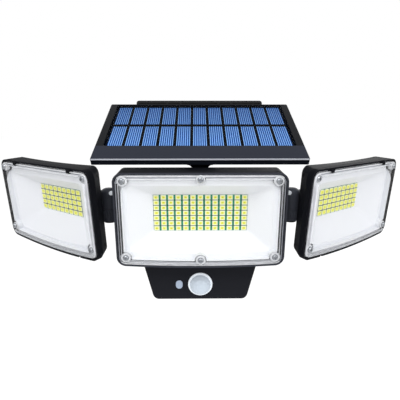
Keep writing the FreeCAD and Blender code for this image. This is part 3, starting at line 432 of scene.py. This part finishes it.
def housing_black(name, place, body, rim):
    """Satin black housing. Its front rim is painted a little greyer, a painted highlight, and so is its back,
    a painted sheen that shows its form."""
    material, tree = new_material(name)
    at = add(tree, "ShaderNodeTexCoord").outputs["Object"]
    spot, tilt, swivel = PLACES[place](np.zeros((1, 3)))[0], CENTRE_TILT, 0.0
    if place != "centre":
        tilt, swivel = SIDE_TILT, SIDE_SWIVEL * (1.0 if place == "right" else -1.0)
    depth = own_frame(tree, at, spot, (tilt, 0.0, swivel))["Y"]
    # painted highlight on the front rim and painted sheen on the back, both as a greyer base colour
    edge = between(tree, depth, BEFORE, PAINTED_RIM_HIGHLIGHT)
    back = mixed(tree, between(tree, depth, PAINTED_SHEEN_FROM, BEYOND), body, "#1b1c20")
    shade = mixed(tree, edge, back, rim)
    grain = add(tree, "ShaderNodeTexNoise", {"Vector": at}, {"Scale": 1.0 / (MOULD_GRAIN * MM), **GRAIN})
    gloss = add(tree, "ShaderNodeMapRange", {"Value": grain.outputs["Fac"]},
                {"To Min": HOUSING_ROUGH - GLOSS_SPREAD, "To Max": HOUSING_ROUGH + GLOSS_SPREAD})
    bump = add(tree, "ShaderNodeBump", {"Height": grain.outputs["Fac"]},
               {"Strength": 0.5, "Distance": MOULD_DEPTH * MM})
    shader = add(tree, "ShaderNodeBsdfPrincipled",
                 {"Base Color": shade, "Roughness": gloss.outputs["Result"],
                  "Normal": bump.outputs["Normal"]},
                 {"Specular IOR Level": 0.02})
    return finished(material, shader.outputs["BSDF"])


PAINTED_LIGHT_DEPTH = 1.1        # mm below the panel's top that the painted reflection and highlight reach
HIGHLIGHT_EDGE = 0.72        # mm behind the panel's front edge, where the painted highlight line ends
LIP_DEPTH = 0.3         # mm behind the panel's front edge, where its lip begins


def panel_painted_light(name):
    """Charcoal frame. On the apron in front of the cells a slate colour is painted as a reflection of the sky,
    and the rounded front edge carries a pale line, a painted highlight."""
    material, tree = new_material(name)
    at = add(tree, "ShaderNodeTexCoord").outputs["Object"]
    own = own_frame(tree, at, PANEL_FRONT, (PANEL_TILT, 0.0, 0.0))
    top = add(tree, "ShaderNodeMath", {0: own["Z"]}, {1: -PAINTED_LIGHT_DEPTH * MM},
              operation="GREATER_THAN").outputs[0]
    apron = add(tree, "ShaderNodeMath", {0: between(tree, own["Y"], BEFORE, APRON_LENGTH), 1: top},
                operation="MULTIPLY")
    edge = add(tree, "ShaderNodeMath", {0: between(tree, own["Y"], BEFORE, HIGHLIGHT_EDGE), 1: top},
               operation="MULTIPLY")
    face = mixed(tree, between(tree, own["Y"], BEFORE, LIP_DEPTH), "#17181b", "#171a22")
    # painted sky reflection on the apron, painted highlight on the rounded front edge
    sky_reflection = mixed(tree, apron.outputs[0], face, "#2b2e38")
    shade = mixed(tree, edge.outputs[0], sky_reflection, "#b2b5be")
    grain = add(tree, "ShaderNodeTexNoise", {"Vector": at}, {"Scale": 1.0 / (MOULD_GRAIN * MM), **GRAIN})
    bump = add(tree, "ShaderNodeBump", {"Height": grain.outputs["Fac"]},
               {"Strength": 0.4, "Distance": MOULD_DEPTH * MM})
    shader = add(tree, "ShaderNodeBsdfPrincipled", {"Base Color": shade, "Normal": bump.outputs["Normal"]},
                 {"Roughness": 0.42, "Specular IOR Level": 0.04})
    return finished(material, shader.outputs["BSDF"])


FLECK_MM = 4.0          # size of the crystal flecks in the silicon


def cell_blue(name, front, back, fleck_share):
    """Mottled blue of the cells or their conductors, changing up the slope from its front colour to its back
    one."""
    material, tree = new_material(name)
    at = add(tree, "ShaderNodeTexCoord").outputs["Object"]
    own = own_frame(tree, at, PANEL_FRONT, (PANEL_TILT, 0.0, 0.0))
    slope = add(tree, "ShaderNodeMapRange", {"Value": own["Y"]},
                {"From Min": CELL_FRONT * MM, "From Max": CELL_BACK * MM,
                 "To Min": 0.0, "To Max": 1.0 - fleck_share})
    fleck = add(tree, "ShaderNodeTexNoise", {"Vector": at}, {"Scale": 1.0 / (FLECK_MM * MM), "Detail": 4.0})
    total = add(tree, "ShaderNodeMath", {0: fleck.outputs["Fac"], 2: slope.outputs["Result"]},
                {1: fleck_share}, operation="MULTIPLY_ADD")
    ramp = add(tree, "ShaderNodeValToRGB", {"Fac": total.outputs[0]})
    ramp.color_ramp.elements[0].color = linear(front)
    ramp.color_ramp.elements[1].color = linear(back)
    shader = add(tree, "ShaderNodeBsdfPrincipled", {"Base Color": ramp.outputs["Color"]},
                 {"Roughness": 0.35, "Specular IOR Level": 0.04})
    return finished(material, shader.outputs["BSDF"])


# moulded black ABS: deep satin black, a soft grey sheen only where light grazes it
BLACK_ABS = moulded("black ABS, satin mould", "#0f1013", 0.55, MOULD_GRAIN, MOULD_DEPTH, specular=0.02)
# the same black on the lamp housings, with a painted highlight on the front rim, strong on the centre head and
# faint on the side heads
HOUSING = {place: housing_black("black ABS housing, " + place, place, "#101115",
                                "#3a3c43" if place == "centre" else "#16171b") for place in PLACES}
# hinges in glass filled nylon: greyer and duller than the housings
NYLON = moulded("glass filled nylon", "#40434c", 0.5, 0.8, 0.02, specular=0.2)
# sensor box from a blasted mould, painted a little greyer than the lamp housings: a painted sheen that shows its
# form
BLASTED_SHEEN_ABS = moulded("black ABS, blasted mould, painted sheen", "#1f2025", 0.6, 0.7, 0.02, specular=0.05)
# the same ABS from an untextured mould: dull, so the inside stays quiet
INNER_ABS = moulded("black ABS, plain inner mould", "#17181a", 0.55, 1.6, 0.03, specular=0.15)
# charcoal frame with a painted sky reflection in slate on the apron and a painted highlight along its rounded
# front edge
PANEL_ABS = panel_painted_light("charcoal ABS frame, painted sky reflection and highlight")
# powder coat: fine orange peel that breaks up the gloss of the steel plate
COATED_STEEL = moulded("powder coated steel", "#141516", 0.5, 0.9, 0.04, specular=0.25)
# blackened screws: darker and glossier than the plastic round them
BLACK_OXIDE = moulded("black oxide steel", "#1b1c1e", 0.34, 0.8, 0.01, specular=0.45)
# stainless screws: mid grey metal with small sharp lights, darker than the white round them
SCREW_STEEL = bright_steel("stainless steel screw", "#999ca1", 0.26)
# extruded seal: a dead matt black line between two satin parts
RUBBER = moulded("EPDM rubber", "#151516", 0.75, 1.0, 0.03, specular=0.2)
# lamp seals in pale silicone: they show as a light band through the rim of each cover
SILICONE = moulded("pale silicone seal", "#e2e4e8", 0.6, 1.5, 0.01, specular=0.2)
# lead in soft PVC: black with a faint gloss
WIRE = moulded("PVC lead", "#101012", 0.5, 2.0, 0.01, specular=0.35)
# shrink sleeve of the battery cells: glossy blue film drawn tight
SLEEVE = moulded("PVC shrink sleeve", "#1f5aa8", 0.3, 6.0, 0.02)
# control board: glossy green lacquer over copper
SOLDER_MASK = moulded("green solder mask", "#1f6b3f", 0.35, 3.0, 0.01)
# teal green stripes between the columns of diodes
DIODE_BOARD = moulded("teal solder mask on aluminium", "#2f8f70", 0.4, 3.0, 0.005, specular=0.25)
# white epoxy package: the pale frame round each yellow pad
PACKAGE = moulded("white epoxy package", "#e6ebdf", 0.4, 2.0, 0.005, specular=0.25)
# phosphor in silicone gel: pale at its edge, full yellow above the chip
GEL_EDGE = moulded("phosphor gel, thin edge", "#ecedb4", 0.3, 1.5, 0.01, specular=0.3)
GEL_CORE = moulded("phosphor gel, full depth", "#e3e655", 0.25, 1.5, 0.01, specular=0.3)
# the chip shows through the gel as an amber mark
CHIP = moulded("chip under phosphor gel", "#b08f28", 0.3, 0.8, 0.01, specular=0.3)
# painted shade: thin dark lines between the rows of diodes, where shade falls between the packages
ROW_SHADE = moulded("painted shade between diode rows", "#30483f", 0.4, 1.0, 0.01, specular=0.2)
# polished mould: the white slopes stay clean, shaded only by their angle
REFLECTOR = moulded("white ABS, polished mould", "#eceef2", 0.3, 6.0, 0.01, specular=0.2)
# side lamps have the same white in a silk finish, a shade greyer
SILK_REFLECTOR = moulded("white ABS, silk mould", "#e4e6eb", 0.4, 2.5, 0.01, specular=0.2)
# can of the motion sensor: warm bright nickel
SENSOR_CAN = bright_steel("nickel plated can", "#c9c9c6", 0.3)
# cast resin of the light sensor: glossy and bluish
RESIN = moulded("clear epoxy resin", "#c4ccd2", 0.15, 3.0, 0.005)
# milky lens: bluish, with a painted glow that evens its shading, as thin milky plastic passes light on to its
# whole face
MILKY = moulded("milky polyethylene", "#a3adb8", 0.3, 2.5, 0.005, specular=0.3, **painted_glow("#d0d9e2", 0.38))
# its thicker rim, and the plug in the eye of each barrel, are whiter, and brighter by a painted glow
MILKY_RIM = moulded("milky polyethylene, thick rim", "#dfe5eb", 0.3, 2.5, 0.005, specular=0.35,
                    **painted_glow("#e6ebf0", 0.3))
# frosted window: paler than the body, a little blue
FROSTED = moulded("frosted acrylic", "#a9b7cb", 0.35, 1.2, 0.01)
# laminate behind the cells: nearly black navy in the gaps
BACKING = moulded("navy laminate", "#050a14", 0.4, 5.0, 0.005, specular=0.02)
# silicon cells: strong blue, deeper towards the back
SILICON = cell_blue("blue silicon cell", "#1a4b96", "#0d2d66", 0.3)
# printed conductors: fine pale blue lines on the cells, fainter further back
CONDUCTOR = cell_blue("printed silver conductor", "#8abcf8", "#5b86bd", 0.1)
# dark tape over the joints between cells: the black grid of the panel
TAPE = moulded("black insulating tape", "#040609", 0.5, 2.0, 0.01, specular=0.02)
# flat window of the cover: almost unseen, a thin gloss at a low angle
CLEAR_COVER = clear_sheet("clear polycarbonate, flat window", 0.05, 0.4, 0.004)
# rounded lips of the cover: painted light and shade in place of what they bend, level runs painted as pale lines,
# upright ones as greyer lines
LIP_LEVEL = cloudy("clear polycarbonate, level lip", "#eceef2", 0.12, 0.45, 6.0)
LIP_UPRIGHT = cloudy("clear polycarbonate, upright lip", "#e2e4ea", 0.12, 0.3, 6.0)
# bead beside them: painted mid grey, a painted shade in place of the dark housing that it bends to the eye
BEAD_UPRIGHT = cloudy("clear polycarbonate, upright bead", "#8b8e97", 0.12, 0.3, 6.0)
# bottom of the groove on upright runs: painted near black, a painted shade standing for the dark wall of the
# housing seen through it
GROOVE = cloudy("clear polycarbonate over the housing", "#121317", 0.3, 0.06, 6.0)
# screw pads of the cover: blasted mould, so they look frosted
FROSTED_PAD = cloudy("clear polycarbonate, frosted pad", "#e4e6ea", 0.4, 0.1, 1.5)
# anti-glare sheet: it hardly veils the cells
CLEAR_PANEL = clear_sheet("clear panel sheet, anti-glare", 0.15, 0.03, 0.001)
# push button: dull grey silicone that stands off the black box
BUTTON = moulded("grey silicone button", "#2b2c2f", 0.6, 1.0, 0.02, specular=0.3)

# finish of each of the record's material slots, and of the nodes that have one of their own
SLOT_FINISH = {
    "steel_black": COATED_STEEL, "screw_steel": SCREW_STEEL, "screw_dark": BLACK_OXIDE,
    "black_plastic": BLACK_ABS, "inner_plastic": INNER_ABS, "panel_plastic": PANEL_ABS,
    "seal_rubber": RUBBER, "button_rubber": BUTTON, "wire_black": WIRE, "battery_wrap": SLEEVE,
    "board_green": SOLDER_MASK, "led_board": DIODE_BOARD, "led_phosphor": PACKAGE, "white_plastic": REFLECTOR,
    "clear_plastic": CLEAR_COVER, "sensor_can": SENSOR_CAN, "sensor_clear": RESIN, "milky_plastic": MILKY,
    "frosted_window": FROSTED, "solar_backing": BACKING, "solar_silicon": SILICON, "panel_glass": CLEAR_PANEL,
}
NODE_FINISH = {"body_front": BLASTED_SHEEN_ABS, "rear_cover": BLASTED_SHEEN_ABS}
for head in PLACES:
    NODE_FINISH[head + "_housing"] = HOUSING[head]
    NODE_FINISH[head + "_seal"] = SILICONE
for side in SIDES:
    NODE_FINISH[side + "_arm"] = NYLON
    NODE_FINISH[side + "_knuckle"] = NYLON
    NODE_FINISH[side + "_reflector"] = SILK_REFLECTOR
for part in frame["record"]["subparts"]:
    materials = nodes[part["node"]].data.materials
    materials.clear()
    materials.append(NODE_FINISH.get(part["node"], SLOT_FINISH[part["material_slot"]]))


# ---------------------------------------------------------------- lamp heads
COVER_BACK = 2.1                        # mm behind the face, where a cover ends inside its head
LIP_FOOT = 4.5                          # inset at which its lip rises from the groove
WINDOW_FRONT, WINDOW_BACK = 13, 14      # points of its section that the window's two faces join
CLEAR, LEVEL, BEAD, DARK, UPRIGHT = range(5)    # its material slots


def cover_section(bead):
    """Section of a cover, as insets from the rim and depths behind the face: flange, bead, groove, lip."""
    flange = [(2.0, COVER_BACK), (2.0, 0.1), (bead, 0.0)]
    rounded = [(bead + 0.1, -0.8), (bead + 0.4, -1.08), (bead + 0.8, -1.08), (3.3, -0.8)]
    groove = [(3.4, 0.2), (GROOVE_END, 0.2)]
    lip = [(LIP_FOOT, -1.6), (4.65, -2.0), (5.0, -2.2), (5.6, -2.26), (6.2, -2.2)]
    return flange + rounded + groove + lip + [(6.3, -0.6), (6.3, COVER_BACK)]


def cover_finish(name, rows, columns):
    """Material slot of every face of a cover, by band of its section and place on its path.

    In place of what the curved bands would bend, light and shade are painted on them. Level runs are painted
    as pale lines, greyer in the groove along the top. Upright runs are painted dark like the housing, apart
    from the lip and the inner half of the bead. A side head is seen at a low angle: its inner runs have a pale
    painted bead and its outer runs a dark painted lip. Near the screws groove and lip are clear."""
    path = face_path(head_of(name), LIP_FOOT)
    step = np.abs(np.roll(path, -1, 0) - path)
    upright = step[:, 1] > step[:, 0]
    near_screw = np.hypot(*(screw_path(head_of(name), LIP_FOOT) - path).T) > 0.01
    outer = upright & (path[:, 0] > 0) & (name != "centre")
    inner = upright & (path[:, 0] < 0) & (name != "centre")
    finish = np.full((rows, columns), CLEAR)
    finish[1] = DARK
    finish[2:6] = np.where(inner, UPRIGHT, np.where(upright, BEAD, LEVEL))
    finish[2:4, upright & ~inner] = DARK
    finish[6:8] = np.where(upright, DARK, np.where(path[:, 1] > 0, BEAD, LEVEL))
    finish[8:11] = np.where(upright, UPRIGHT, LEVEL)
    finish[6:11, near_screw] = CLEAR
    finish[8:12, outer & ~near_screw] = DARK
    return finish


def cover(name):
    """Clear cover: its section swept round the face and closed by a flat window with two faces. From the bead
    inwards the path bends round the screws."""
    head = head_of(name)
    section = cover_section(head["bead"])
    rings = []
    for inset, y in section:
        path = screw_path(head, inset) if inset > BENDS_FROM else face_path(head, inset)
        rings.append(np.stack([path[:, 0], np.full(len(path), y), path[:, 1]], -1))
    rows, columns = len(rings), len(rings[0])
    swept = [row for row in range(rows) if row != WINDOW_FRONT]
    faces = np.array(grid_faces(rows, columns, True)).reshape(rows, columns, 4)[swept].reshape(-1, 4).tolist()
    faces.append([WINDOW_FRONT * columns + k for k in range(columns)][::-1])
    faces.append([WINDOW_BACK * columns + k for k in range(columns)])
    finish = cover_finish(name, rows, columns)[swept].ravel().tolist() + [CLEAR, CLEAR]
    piece = build(name + "_cover_glass", PLACES[name](np.concatenate(rings)), faces, name + "_head",
                  [CLEAR_COVER, LIP_LEVEL, BEAD_UPRIGHT, GROOVE, LIP_UPRIGHT],
                  [len(face) == 4 for face in faces], finish)
    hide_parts(name + "_cover")


def cross_screw(radius, height, shank, length):
    """Pan head on a shank, its head facing -y and resting at y = 0: turned profile, then a star of twelve
    corners for the cross recess and the same star sunk below it."""
    corners = 12
    sides = 2 * corners
    profile = [(shank, length), (shank, 0.0), (radius, 0.0), (radius, -0.45 * height),
               (0.86 * radius, -0.8 * height), (0.66 * radius, -height)]
    arm, half = 0.56 * radius, 0.13 * radius
    quarter = np.array([(arm, -half), (arm, half), (half, half)])
    cross = np.concatenate([quarter @ np.array([[np.cos(k), np.sin(k)], [-np.sin(k), np.cos(k)]])
                            for k in np.arange(4) * np.pi / 2])
    stars = [np.stack([cross[:, 0] * size, np.full(corners, y), cross[:, 1] * size], -1)
             for size, y in ((1.0, -height), (0.8, -0.4 * height))]
    points = np.concatenate([turned(profile, sides)] + stars)
    star = len(profile) * sides
    top = star - sides
    faces = [list(range(sides))[::-1]] + grid_faces(len(profile), sides)
    sunk = star + corners
    for k in range(corners):
        after = (k + 1) % corners
        faces.append([top + (2 * k - 1) % sides, top + 2 * k, top + 2 * k + 1, star + after, star + k])
        faces.append([star + k, star + after, sunk + after, sunk + k])
    faces.append(list(range(sunk, sunk + corners)))
    return points, faces


SCREW_SEAT = -0.6                       # where the screw heads rest, in front of the face
PAD_BORE = 1.6                          # radius of the hole in a screw pad
PAD_FRONT, PAD_BACK = -0.58, 2.5
PAD_CLEAR = 1.75                        # least distance from a pad to the upper or outer rim of its head


def cover_screws(name):
    """Cross recess screws of a cover, each in a frosted pad that is smaller where the head's rim is near."""
    head = head_of(name)
    spots = np.array([(x, SCREW_SEAT, z) for x, z in head["screws"]])
    points, faces = repeat(*cross_screw(radius=2.5, height=1.6, shank=1.45, length=10.0), spots)
    screws = build(name + "_cross_screws", PLACES[name](points), faces, name + "_head",
                   [SCREW_STEEL], False)
    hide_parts(name + "_cover_screws")
    points, faces = [], []
    for x, z in head["screws"]:
        radius = head["pad"]
        if z > 0:
            reach = min(head["middle"] + head["half_height"] - z, head["half_width"] - abs(x))
            radius = min(radius, reach - PAD_CLEAR)
        ring, ring_faces = washer(PAD_BORE, radius, PAD_FRONT, PAD_BACK, sides=28)
        faces += [[len(points) * len(ring) + k for k in face] for face in ring_faces]
        points.append(ring + np.array([x, 0.0, z]))
    build(name + "_screw_pads", PLACES[name](np.concatenate(points)), faces, name + "_head",
          [FROSTED_PAD])


def diode_gels(name):
    """On every diode package: a pale pad, a deeper yellow core on it and the amber mark of the chip."""
    head = head_of(name)
    i, j = np.meshgrid(np.arange(head["cols"]), np.arange(head["rows"]), indexing="ij")
    x = head["shift"][0] + (i.ravel() - (head["cols"] - 1) / 2) * LED_PITCH[0]
    z = head["shift"][1] + (j.ravel() - (head["rows"] - 1) / 2) * LED_PITCH[1]
    spots = np.stack([x, np.full_like(x, head["depth"]), z], -1)
    layers = (("edge", low_pad(*head["gel"], rise=0.1, corner=0.9), GEL_EDGE),
              ("core", low_pad(*head["core"], rise=0.16, corner=0.8), GEL_CORE),
              ("chip", low_pad(0.8, 0.6, rise=0.2, corner=0.15), CHIP))
    for label, shape, finish in layers:
        points, faces = repeat(*shape, spots)
        build(name + "_gel_" + label, PLACES[name](points), faces, name + "_head", [finish],
              False)


EYE = np.array([-3.4, -6.4, 6.0])       # middle of the right barrel's eye, from the barrel's own middle
EYE_BORE = 1.72                         # radius of the eye
PLUG_BACK, PLUG_STEP = 2.0, 0.6         # depths of the plug's back end and of the step behind its button
PLUG_FLAT, PLUG_ROUND = 1.0, 0.8        # radius of the button's flat middle, and what its rounding adds
PLUG_RISE = 0.6                         # height of the rounding


def eye_plug(side):
    """Pale plug in the eye of a barrel: a turned button whose front is rounded by a quarter circle."""
    sides = 24
    quarter = np.linspace(0.0, np.pi / 2, 5)
    front = np.stack([PLUG_FLAT + PLUG_ROUND * np.cos(quarter), -PLUG_RISE * np.sin(quarter)], -1)
    profile = np.concatenate([[(EYE_BORE, PLUG_BACK), (EYE_BORE, PLUG_STEP)], front])
    points = turned(profile, sides) + BARREL + EYE
    if side == "left":
        points = points * MIRROR
    # the plug's milky finish carries a painted glow
    build(side + "_eye_plug", points, turned_faces(len(profile), sides), side + "_swivel",
          [MILKY_RIM])


ROW_SHADE_RISE = 0.06                      # height of a line of painted shade
ROW_SHADE_SHORT = 0.4                      # how much sooner it ends than the field of diodes


def row_shade_lines(name):
    """Dark line of painted shade between each two rows of diodes: a long low bar half way between their rows."""
    head = head_of(name)
    length, half = head["cols"] * LED_PITCH[0] / 2 - ROW_SHADE_SHORT, head["solder"] / 2
    z = head["shift"][1] + (np.arange(head["rows"] - 1) - (head["rows"] - 2) / 2) * LED_PITCH[1]
    spots = np.stack([np.full_like(z, head["shift"][0]), np.full_like(z, head["depth"]), z], -1)
    points, faces = repeat(*bar((-length, -ROW_SHADE_RISE, -half), (length, SINK, half)), spots)
    build(name + "_row_shade_lines", PLACES[name](points), faces, name + "_head", [ROW_SHADE], False)


UPSTAND_OUTSIDE, UPSTAND_INSIDE = 6.45, 7.05            # insets of its two walls from the head's rim
UPSTAND_FRONT, UPSTAND_FOOT = -0.45, 4.0                # depths behind the face
UPSTAND_DROP = 4.1                                      # how much lower it is along the top
DROP_FROM, DROP_OVER = 0.45, 0.3                        # where it drops, in shares of the half height


def reflector_upstand(name):
    """White rim on the reflector that reaches into the cover: a thin band swept round just inside the wall
    of the window. Towards the top of the head it drops, by a smooth step of the height."""
    head = head_of(name)
    rings = []
    for inset, front in ((UPSTAND_OUTSIDE, False), (UPSTAND_OUTSIDE, True),
                         (UPSTAND_INSIDE, True), (UPSTAND_INSIDE, False)):
        path = screw_path(head, inset)
        way = np.clip((path[:, 1] / head["half_height"] - DROP_FROM) / DROP_OVER, 0.0, 1.0)
        drop = UPSTAND_DROP * way * way * (3.0 - 2.0 * way)
        y = UPSTAND_FRONT + drop if front else np.full(len(path), UPSTAND_FOOT)
        rings.append(np.stack([path[:, 0], y, path[:, 1]], -1))
    faces = grid_faces(len(rings), len(rings[0]), True)
    build(name + "_reflector_upstand", PLACES[name](np.concatenate(rings)), faces, name + "_head",
          [REFLECTOR if name == "centre" else SILK_REFLECTOR], False)


# ---------------------------------------------------------------- panel and sensor
LINES = 7                               # printed lines on a cell
LINE_WIDTH, LINE_RISE = 0.64, 0.06      # real ones are 0.1 mm wide, and these are wider so that they show
TAPE_WIDTH, TAPE_RISE = 2.7, 0.1
CROSS_TAPE_WIDTH, CROSS_TAPE_RISE = 4.2, 0.12


def cell_conductors():
    """Printed lines along every cell: flat bars, evenly spaced across it."""
    i, j, k = np.meshgrid(np.arange(CELL_COLS), np.arange(CELL_ROWS), np.arange(LINES), indexing="ij")
    x = -CELL_X + i.ravel() * (CELL_WIDTH + CELL_GAP) + (k.ravel() + 0.5) * CELL_WIDTH / LINES
    y = CELL_FRONT + j.ravel() * (CELL_LENGTH + ROW_GAP)
    line = bar((-LINE_WIDTH / 2, 0.0, -SINK), (LINE_WIDTH / 2, CELL_LENGTH, LINE_RISE))
    points, faces = repeat(*line, np.stack([x, y, np.full_like(y, CELL_TOP)], -1))
    build("cell_conductors", on_panel(points), faces, "base", [CONDUCTOR], False)


def cell_tape():
    """Black tape over the joints: a strip up the slope over each gap between columns, and one across them."""
    x = -CELL_X + (np.arange(CELL_COLS - 1) + 1) * (CELL_WIDTH + CELL_GAP) - CELL_GAP / 2
    strip = bar((-TAPE_WIDTH / 2, CELL_FRONT, -SINK), (TAPE_WIDTH / 2, CELL_BACK, TAPE_RISE))
    points, faces = repeat(*strip, np.stack([x, np.zeros_like(x), np.full_like(x, CELL_TOP)], -1))
    middle, half = (CELL_FRONT + CELL_BACK) / 2, CROSS_TAPE_WIDTH / 2
    across, across_faces = bar((-CELL_X, middle - half, CELL_TOP - SINK),
                               (CELL_X, middle + half, CELL_TOP + CROSS_TAPE_RISE))
    faces += [[len(points) + k for k in face] for face in across_faces]
    build("cell_tape", on_panel(np.concatenate([points, across])), faces, "base",
          [TAPE], False)


LENSLET_RINGS = ((20.0, 6), (40.0, 12), (60.0, 18))     # angle from the lens's axis and number of lenslets
LENSLET_DEPTH = 11.0                                    # how strongly a lenslet's edge drops below its middle


LENS_TOP = 0.6                                          # degrees, first ring of the dome round its axis
LENS_SKIN = 0.04                                        # how far the dome lies inside its ball


def ways(tip, around):
    """Directions tipped from -y by an angle, at angles round that axis."""
    return np.stack([np.sin(tip) * np.cos(around), -np.cos(tip) * np.ones_like(around),
                     np.sin(tip) * np.sin(around)], -1)


def sensor_lens():
    """Lens dome: a ball cap whose radius drops by a share of one minus the cosine of the angle to the nearest
    of 37 lenslet axes, so that every lenslet bulges; then a groove and a rounded rim, closed flat behind."""
    ball = (LENS_BASE ** 2 + LENS_RISE ** 2) / (2 * LENS_RISE)
    axes = [ways(0.0, np.zeros(1))]
    for angle, count in LENSLET_RINGS:
        tip = math.radians(angle)
        axes.append(ways(tip, np.linspace(0.0, 2 * np.pi, count, endpoint=False) + tip))
    sides, steps = 120, 44
    edge = math.degrees(math.asin((LENS_BASE - 0.3) / ball))
    polar = np.radians(np.linspace(LENS_TOP, edge, steps))[:, None]
    way = ways(polar, np.linspace(0.0, 2 * np.pi, sides, endpoint=False)[None, :])
    nearest = (way @ np.concatenate(axes).T).max(-1)
    radius = ball - LENS_SKIN - LENSLET_DEPTH * (1.0 - nearest)
    dome = way * radius[..., None] + np.array([0.0, ball - LENS_RISE, 0.0])
    rim = [(LENS_BASE - 0.05, 0.0), (LENS_BASE + 0.05, 0.05), (LENS_BASE + 0.2, -0.25),
           (LENS_BASE + 0.55, -0.4), (LENS_FLANGE - 0.2, -0.25), (LENS_FLANGE, 0.05), (LENS_FLANGE, 0.85)]
    points = np.concatenate([dome.reshape(-1, 3), turned(rim, sides)]) + LENS
    faces = turned_faces(steps + len(rim), sides)
    finish = [0 if face[0] // sides < steps - 1 else 1 for face in faces]
    lens = build("sensor_dome", points, faces, "base", [MILKY, MILKY_RIM], True, finish)
    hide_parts("pir_lens")


for side in SIDES:
    eye_plug(side)
for head in PLACES:
    cover(head)
    cover_screws(head)
    diode_gels(head)
    row_shade_lines(head)
    reflector_upstand(head)
cell_conductors()
cell_tape()
sensor_lens()


# ---------------------------------------------------------------- floor, light and camera
FLOOR_SIZE, FLOOR_Z = 6.0, -0.42        # metres: half of its width, and its height
FLOOR_GLOW, FLOOR_GLOW_SHARE = 1.14, 0.78
LIT_LEVEL, SEEN_LEVEL = 0.62, 1.0       # world light on the object, and the backdrop as it is seen
LAMP_AIM = Vector((0.0, -0.1, -0.06))   # metres, near the middle of the object
# name, place and width in metres, watts
LAMPS = (("key", (-0.5, -1.3, 1.3), 1.1, 19.0),
         ("fill", (1.2, -1.2, 0.5), 1.0, 8.0),
         ("back", (0.7, 1.4, -0.2), 1.2, 13.0))


def seen_white(tree):
    """1 for camera, glossy and transmission rays, which see the backdrop, and 0 for light on the object."""
    path = add(tree, "ShaderNodeLightPath").outputs
    seen = add(tree, "ShaderNodeMath", {0: path["Is Camera Ray"], 1: path["Is Glossy Ray"]},
               operation="MAXIMUM")
    return add(tree, "ShaderNodeMath", {0: seen.outputs[0], 1: path["Is Transmission Ray"]},
               operation="MAXIMUM").outputs[0]


def paper_floor():
    """Pale floor: a diffuse sheet, and over a share of it a white of its own that shadows don't reach."""
    size, z = FLOOR_SIZE, FLOOR_Z
    mesh = bpy.data.meshes.new("floor")
    corners = [(-size, -size, z), (size, -size, z), (size, size, z), (-size, size, z)]
    mesh.from_pydata(corners, [], [(0, 1, 2, 3)])
    floor = bpy.data.objects.new("floor", mesh)
    bpy.context.scene.collection.objects.link(floor)
    material, tree = new_material("white paper floor")
    paper = add(tree, "ShaderNodeBsdfDiffuse", values={"Color": linear("#f4f4f4")})
    glow = add(tree, "ShaderNodeEmission", values={"Color": WHITE, "Strength": FLOOR_GLOW})
    share = add(tree, "ShaderNodeMath", {0: seen_white(tree)}, {1: FLOOR_GLOW_SHARE}, operation="MULTIPLY")
    mix = add(tree, "ShaderNodeMixShader", {"Fac": share.outputs[0], 1: paper.outputs[0], 2: glow.outputs[0]})
    mesh.materials.append(finished(material, mix.outputs[0]))


def even_world():
    """White backdrop, and an even light from all round at a lower level."""
    world = bpy.data.worlds.new("studio")
    bpy.context.scene.world = world
    world.use_nodes = True
    tree = world.node_tree
    tree.nodes.clear()
    level = add(tree, "ShaderNodeMapRange", {"Value": seen_white(tree)},
                {"To Min": LIT_LEVEL, "To Max": SEEN_LEVEL})
    back = add(tree, "ShaderNodeBackground", {"Strength": level.outputs["Result"]}, {"Color": WHITE})
    add(tree, "ShaderNodeOutputWorld", {"Surface": back.outputs[0]})


def soft_lamps():
    """One broad soft lamp above the left front, a weaker one at the right and one behind, for the back."""
    for name, at, width, watts in LAMPS:
        light = bpy.data.lights.new(name, "AREA")
        light.size = width
        light.energy = watts
        lamp = bpy.data.objects.new(name, light)
        bpy.context.scene.collection.objects.link(lamp)
        lamp.location = at
        lamp.rotation_mode = "QUATERNION"
        lamp.rotation_quaternion = (LAMP_AIM - Vector(at)).to_track_quat("-Z", "Y")


FOCAL_LENGTH, PHOTO_WIDTH = 351.6, 400.0                # both in pixels of the photograph
SENSOR_WIDTH = 36.0                                     # width of the sensor in mm, as Blender has it
CAMERA_AT = (-3.6, FACE_Y - 273.15, FACE_Z + 83.26)
CAMERA_PITCH, CAMERA_YAW = 13.64, -0.64                 # degrees


def camera():
    """Camera 273 mm in front of the centre head's face and 83 mm above it, looking down by 13.6 degrees."""
    data = bpy.data.cameras.new("camera")
    data.sensor_width = SENSOR_WIDTH
    data.lens = FOCAL_LENGTH / PHOTO_WIDTH * SENSOR_WIDTH
    data.clip_start = 0.01
    cam = bpy.data.objects.new("camera", data)
    bpy.context.scene.collection.objects.link(cam)
    look = (Matrix.Rotation(math.radians(CAMERA_YAW), 3, "Z")
            @ Matrix.Rotation(-math.radians(CAMERA_PITCH), 3, "X"))
    right, forward, up = look.col[0], look.col[1], look.col[2]
    turned_to_view = Matrix((right, up, -forward)).transposed()
    cam.matrix_world = Matrix.Translation([place * MM for place in CAMERA_AT]) @ turned_to_view.to_4x4()
    bpy.context.scene.camera = cam


paper_floor()
even_world()
soft_lamps()
camera()
bpy.context.scene.view_settings.view_transform = "Standard"
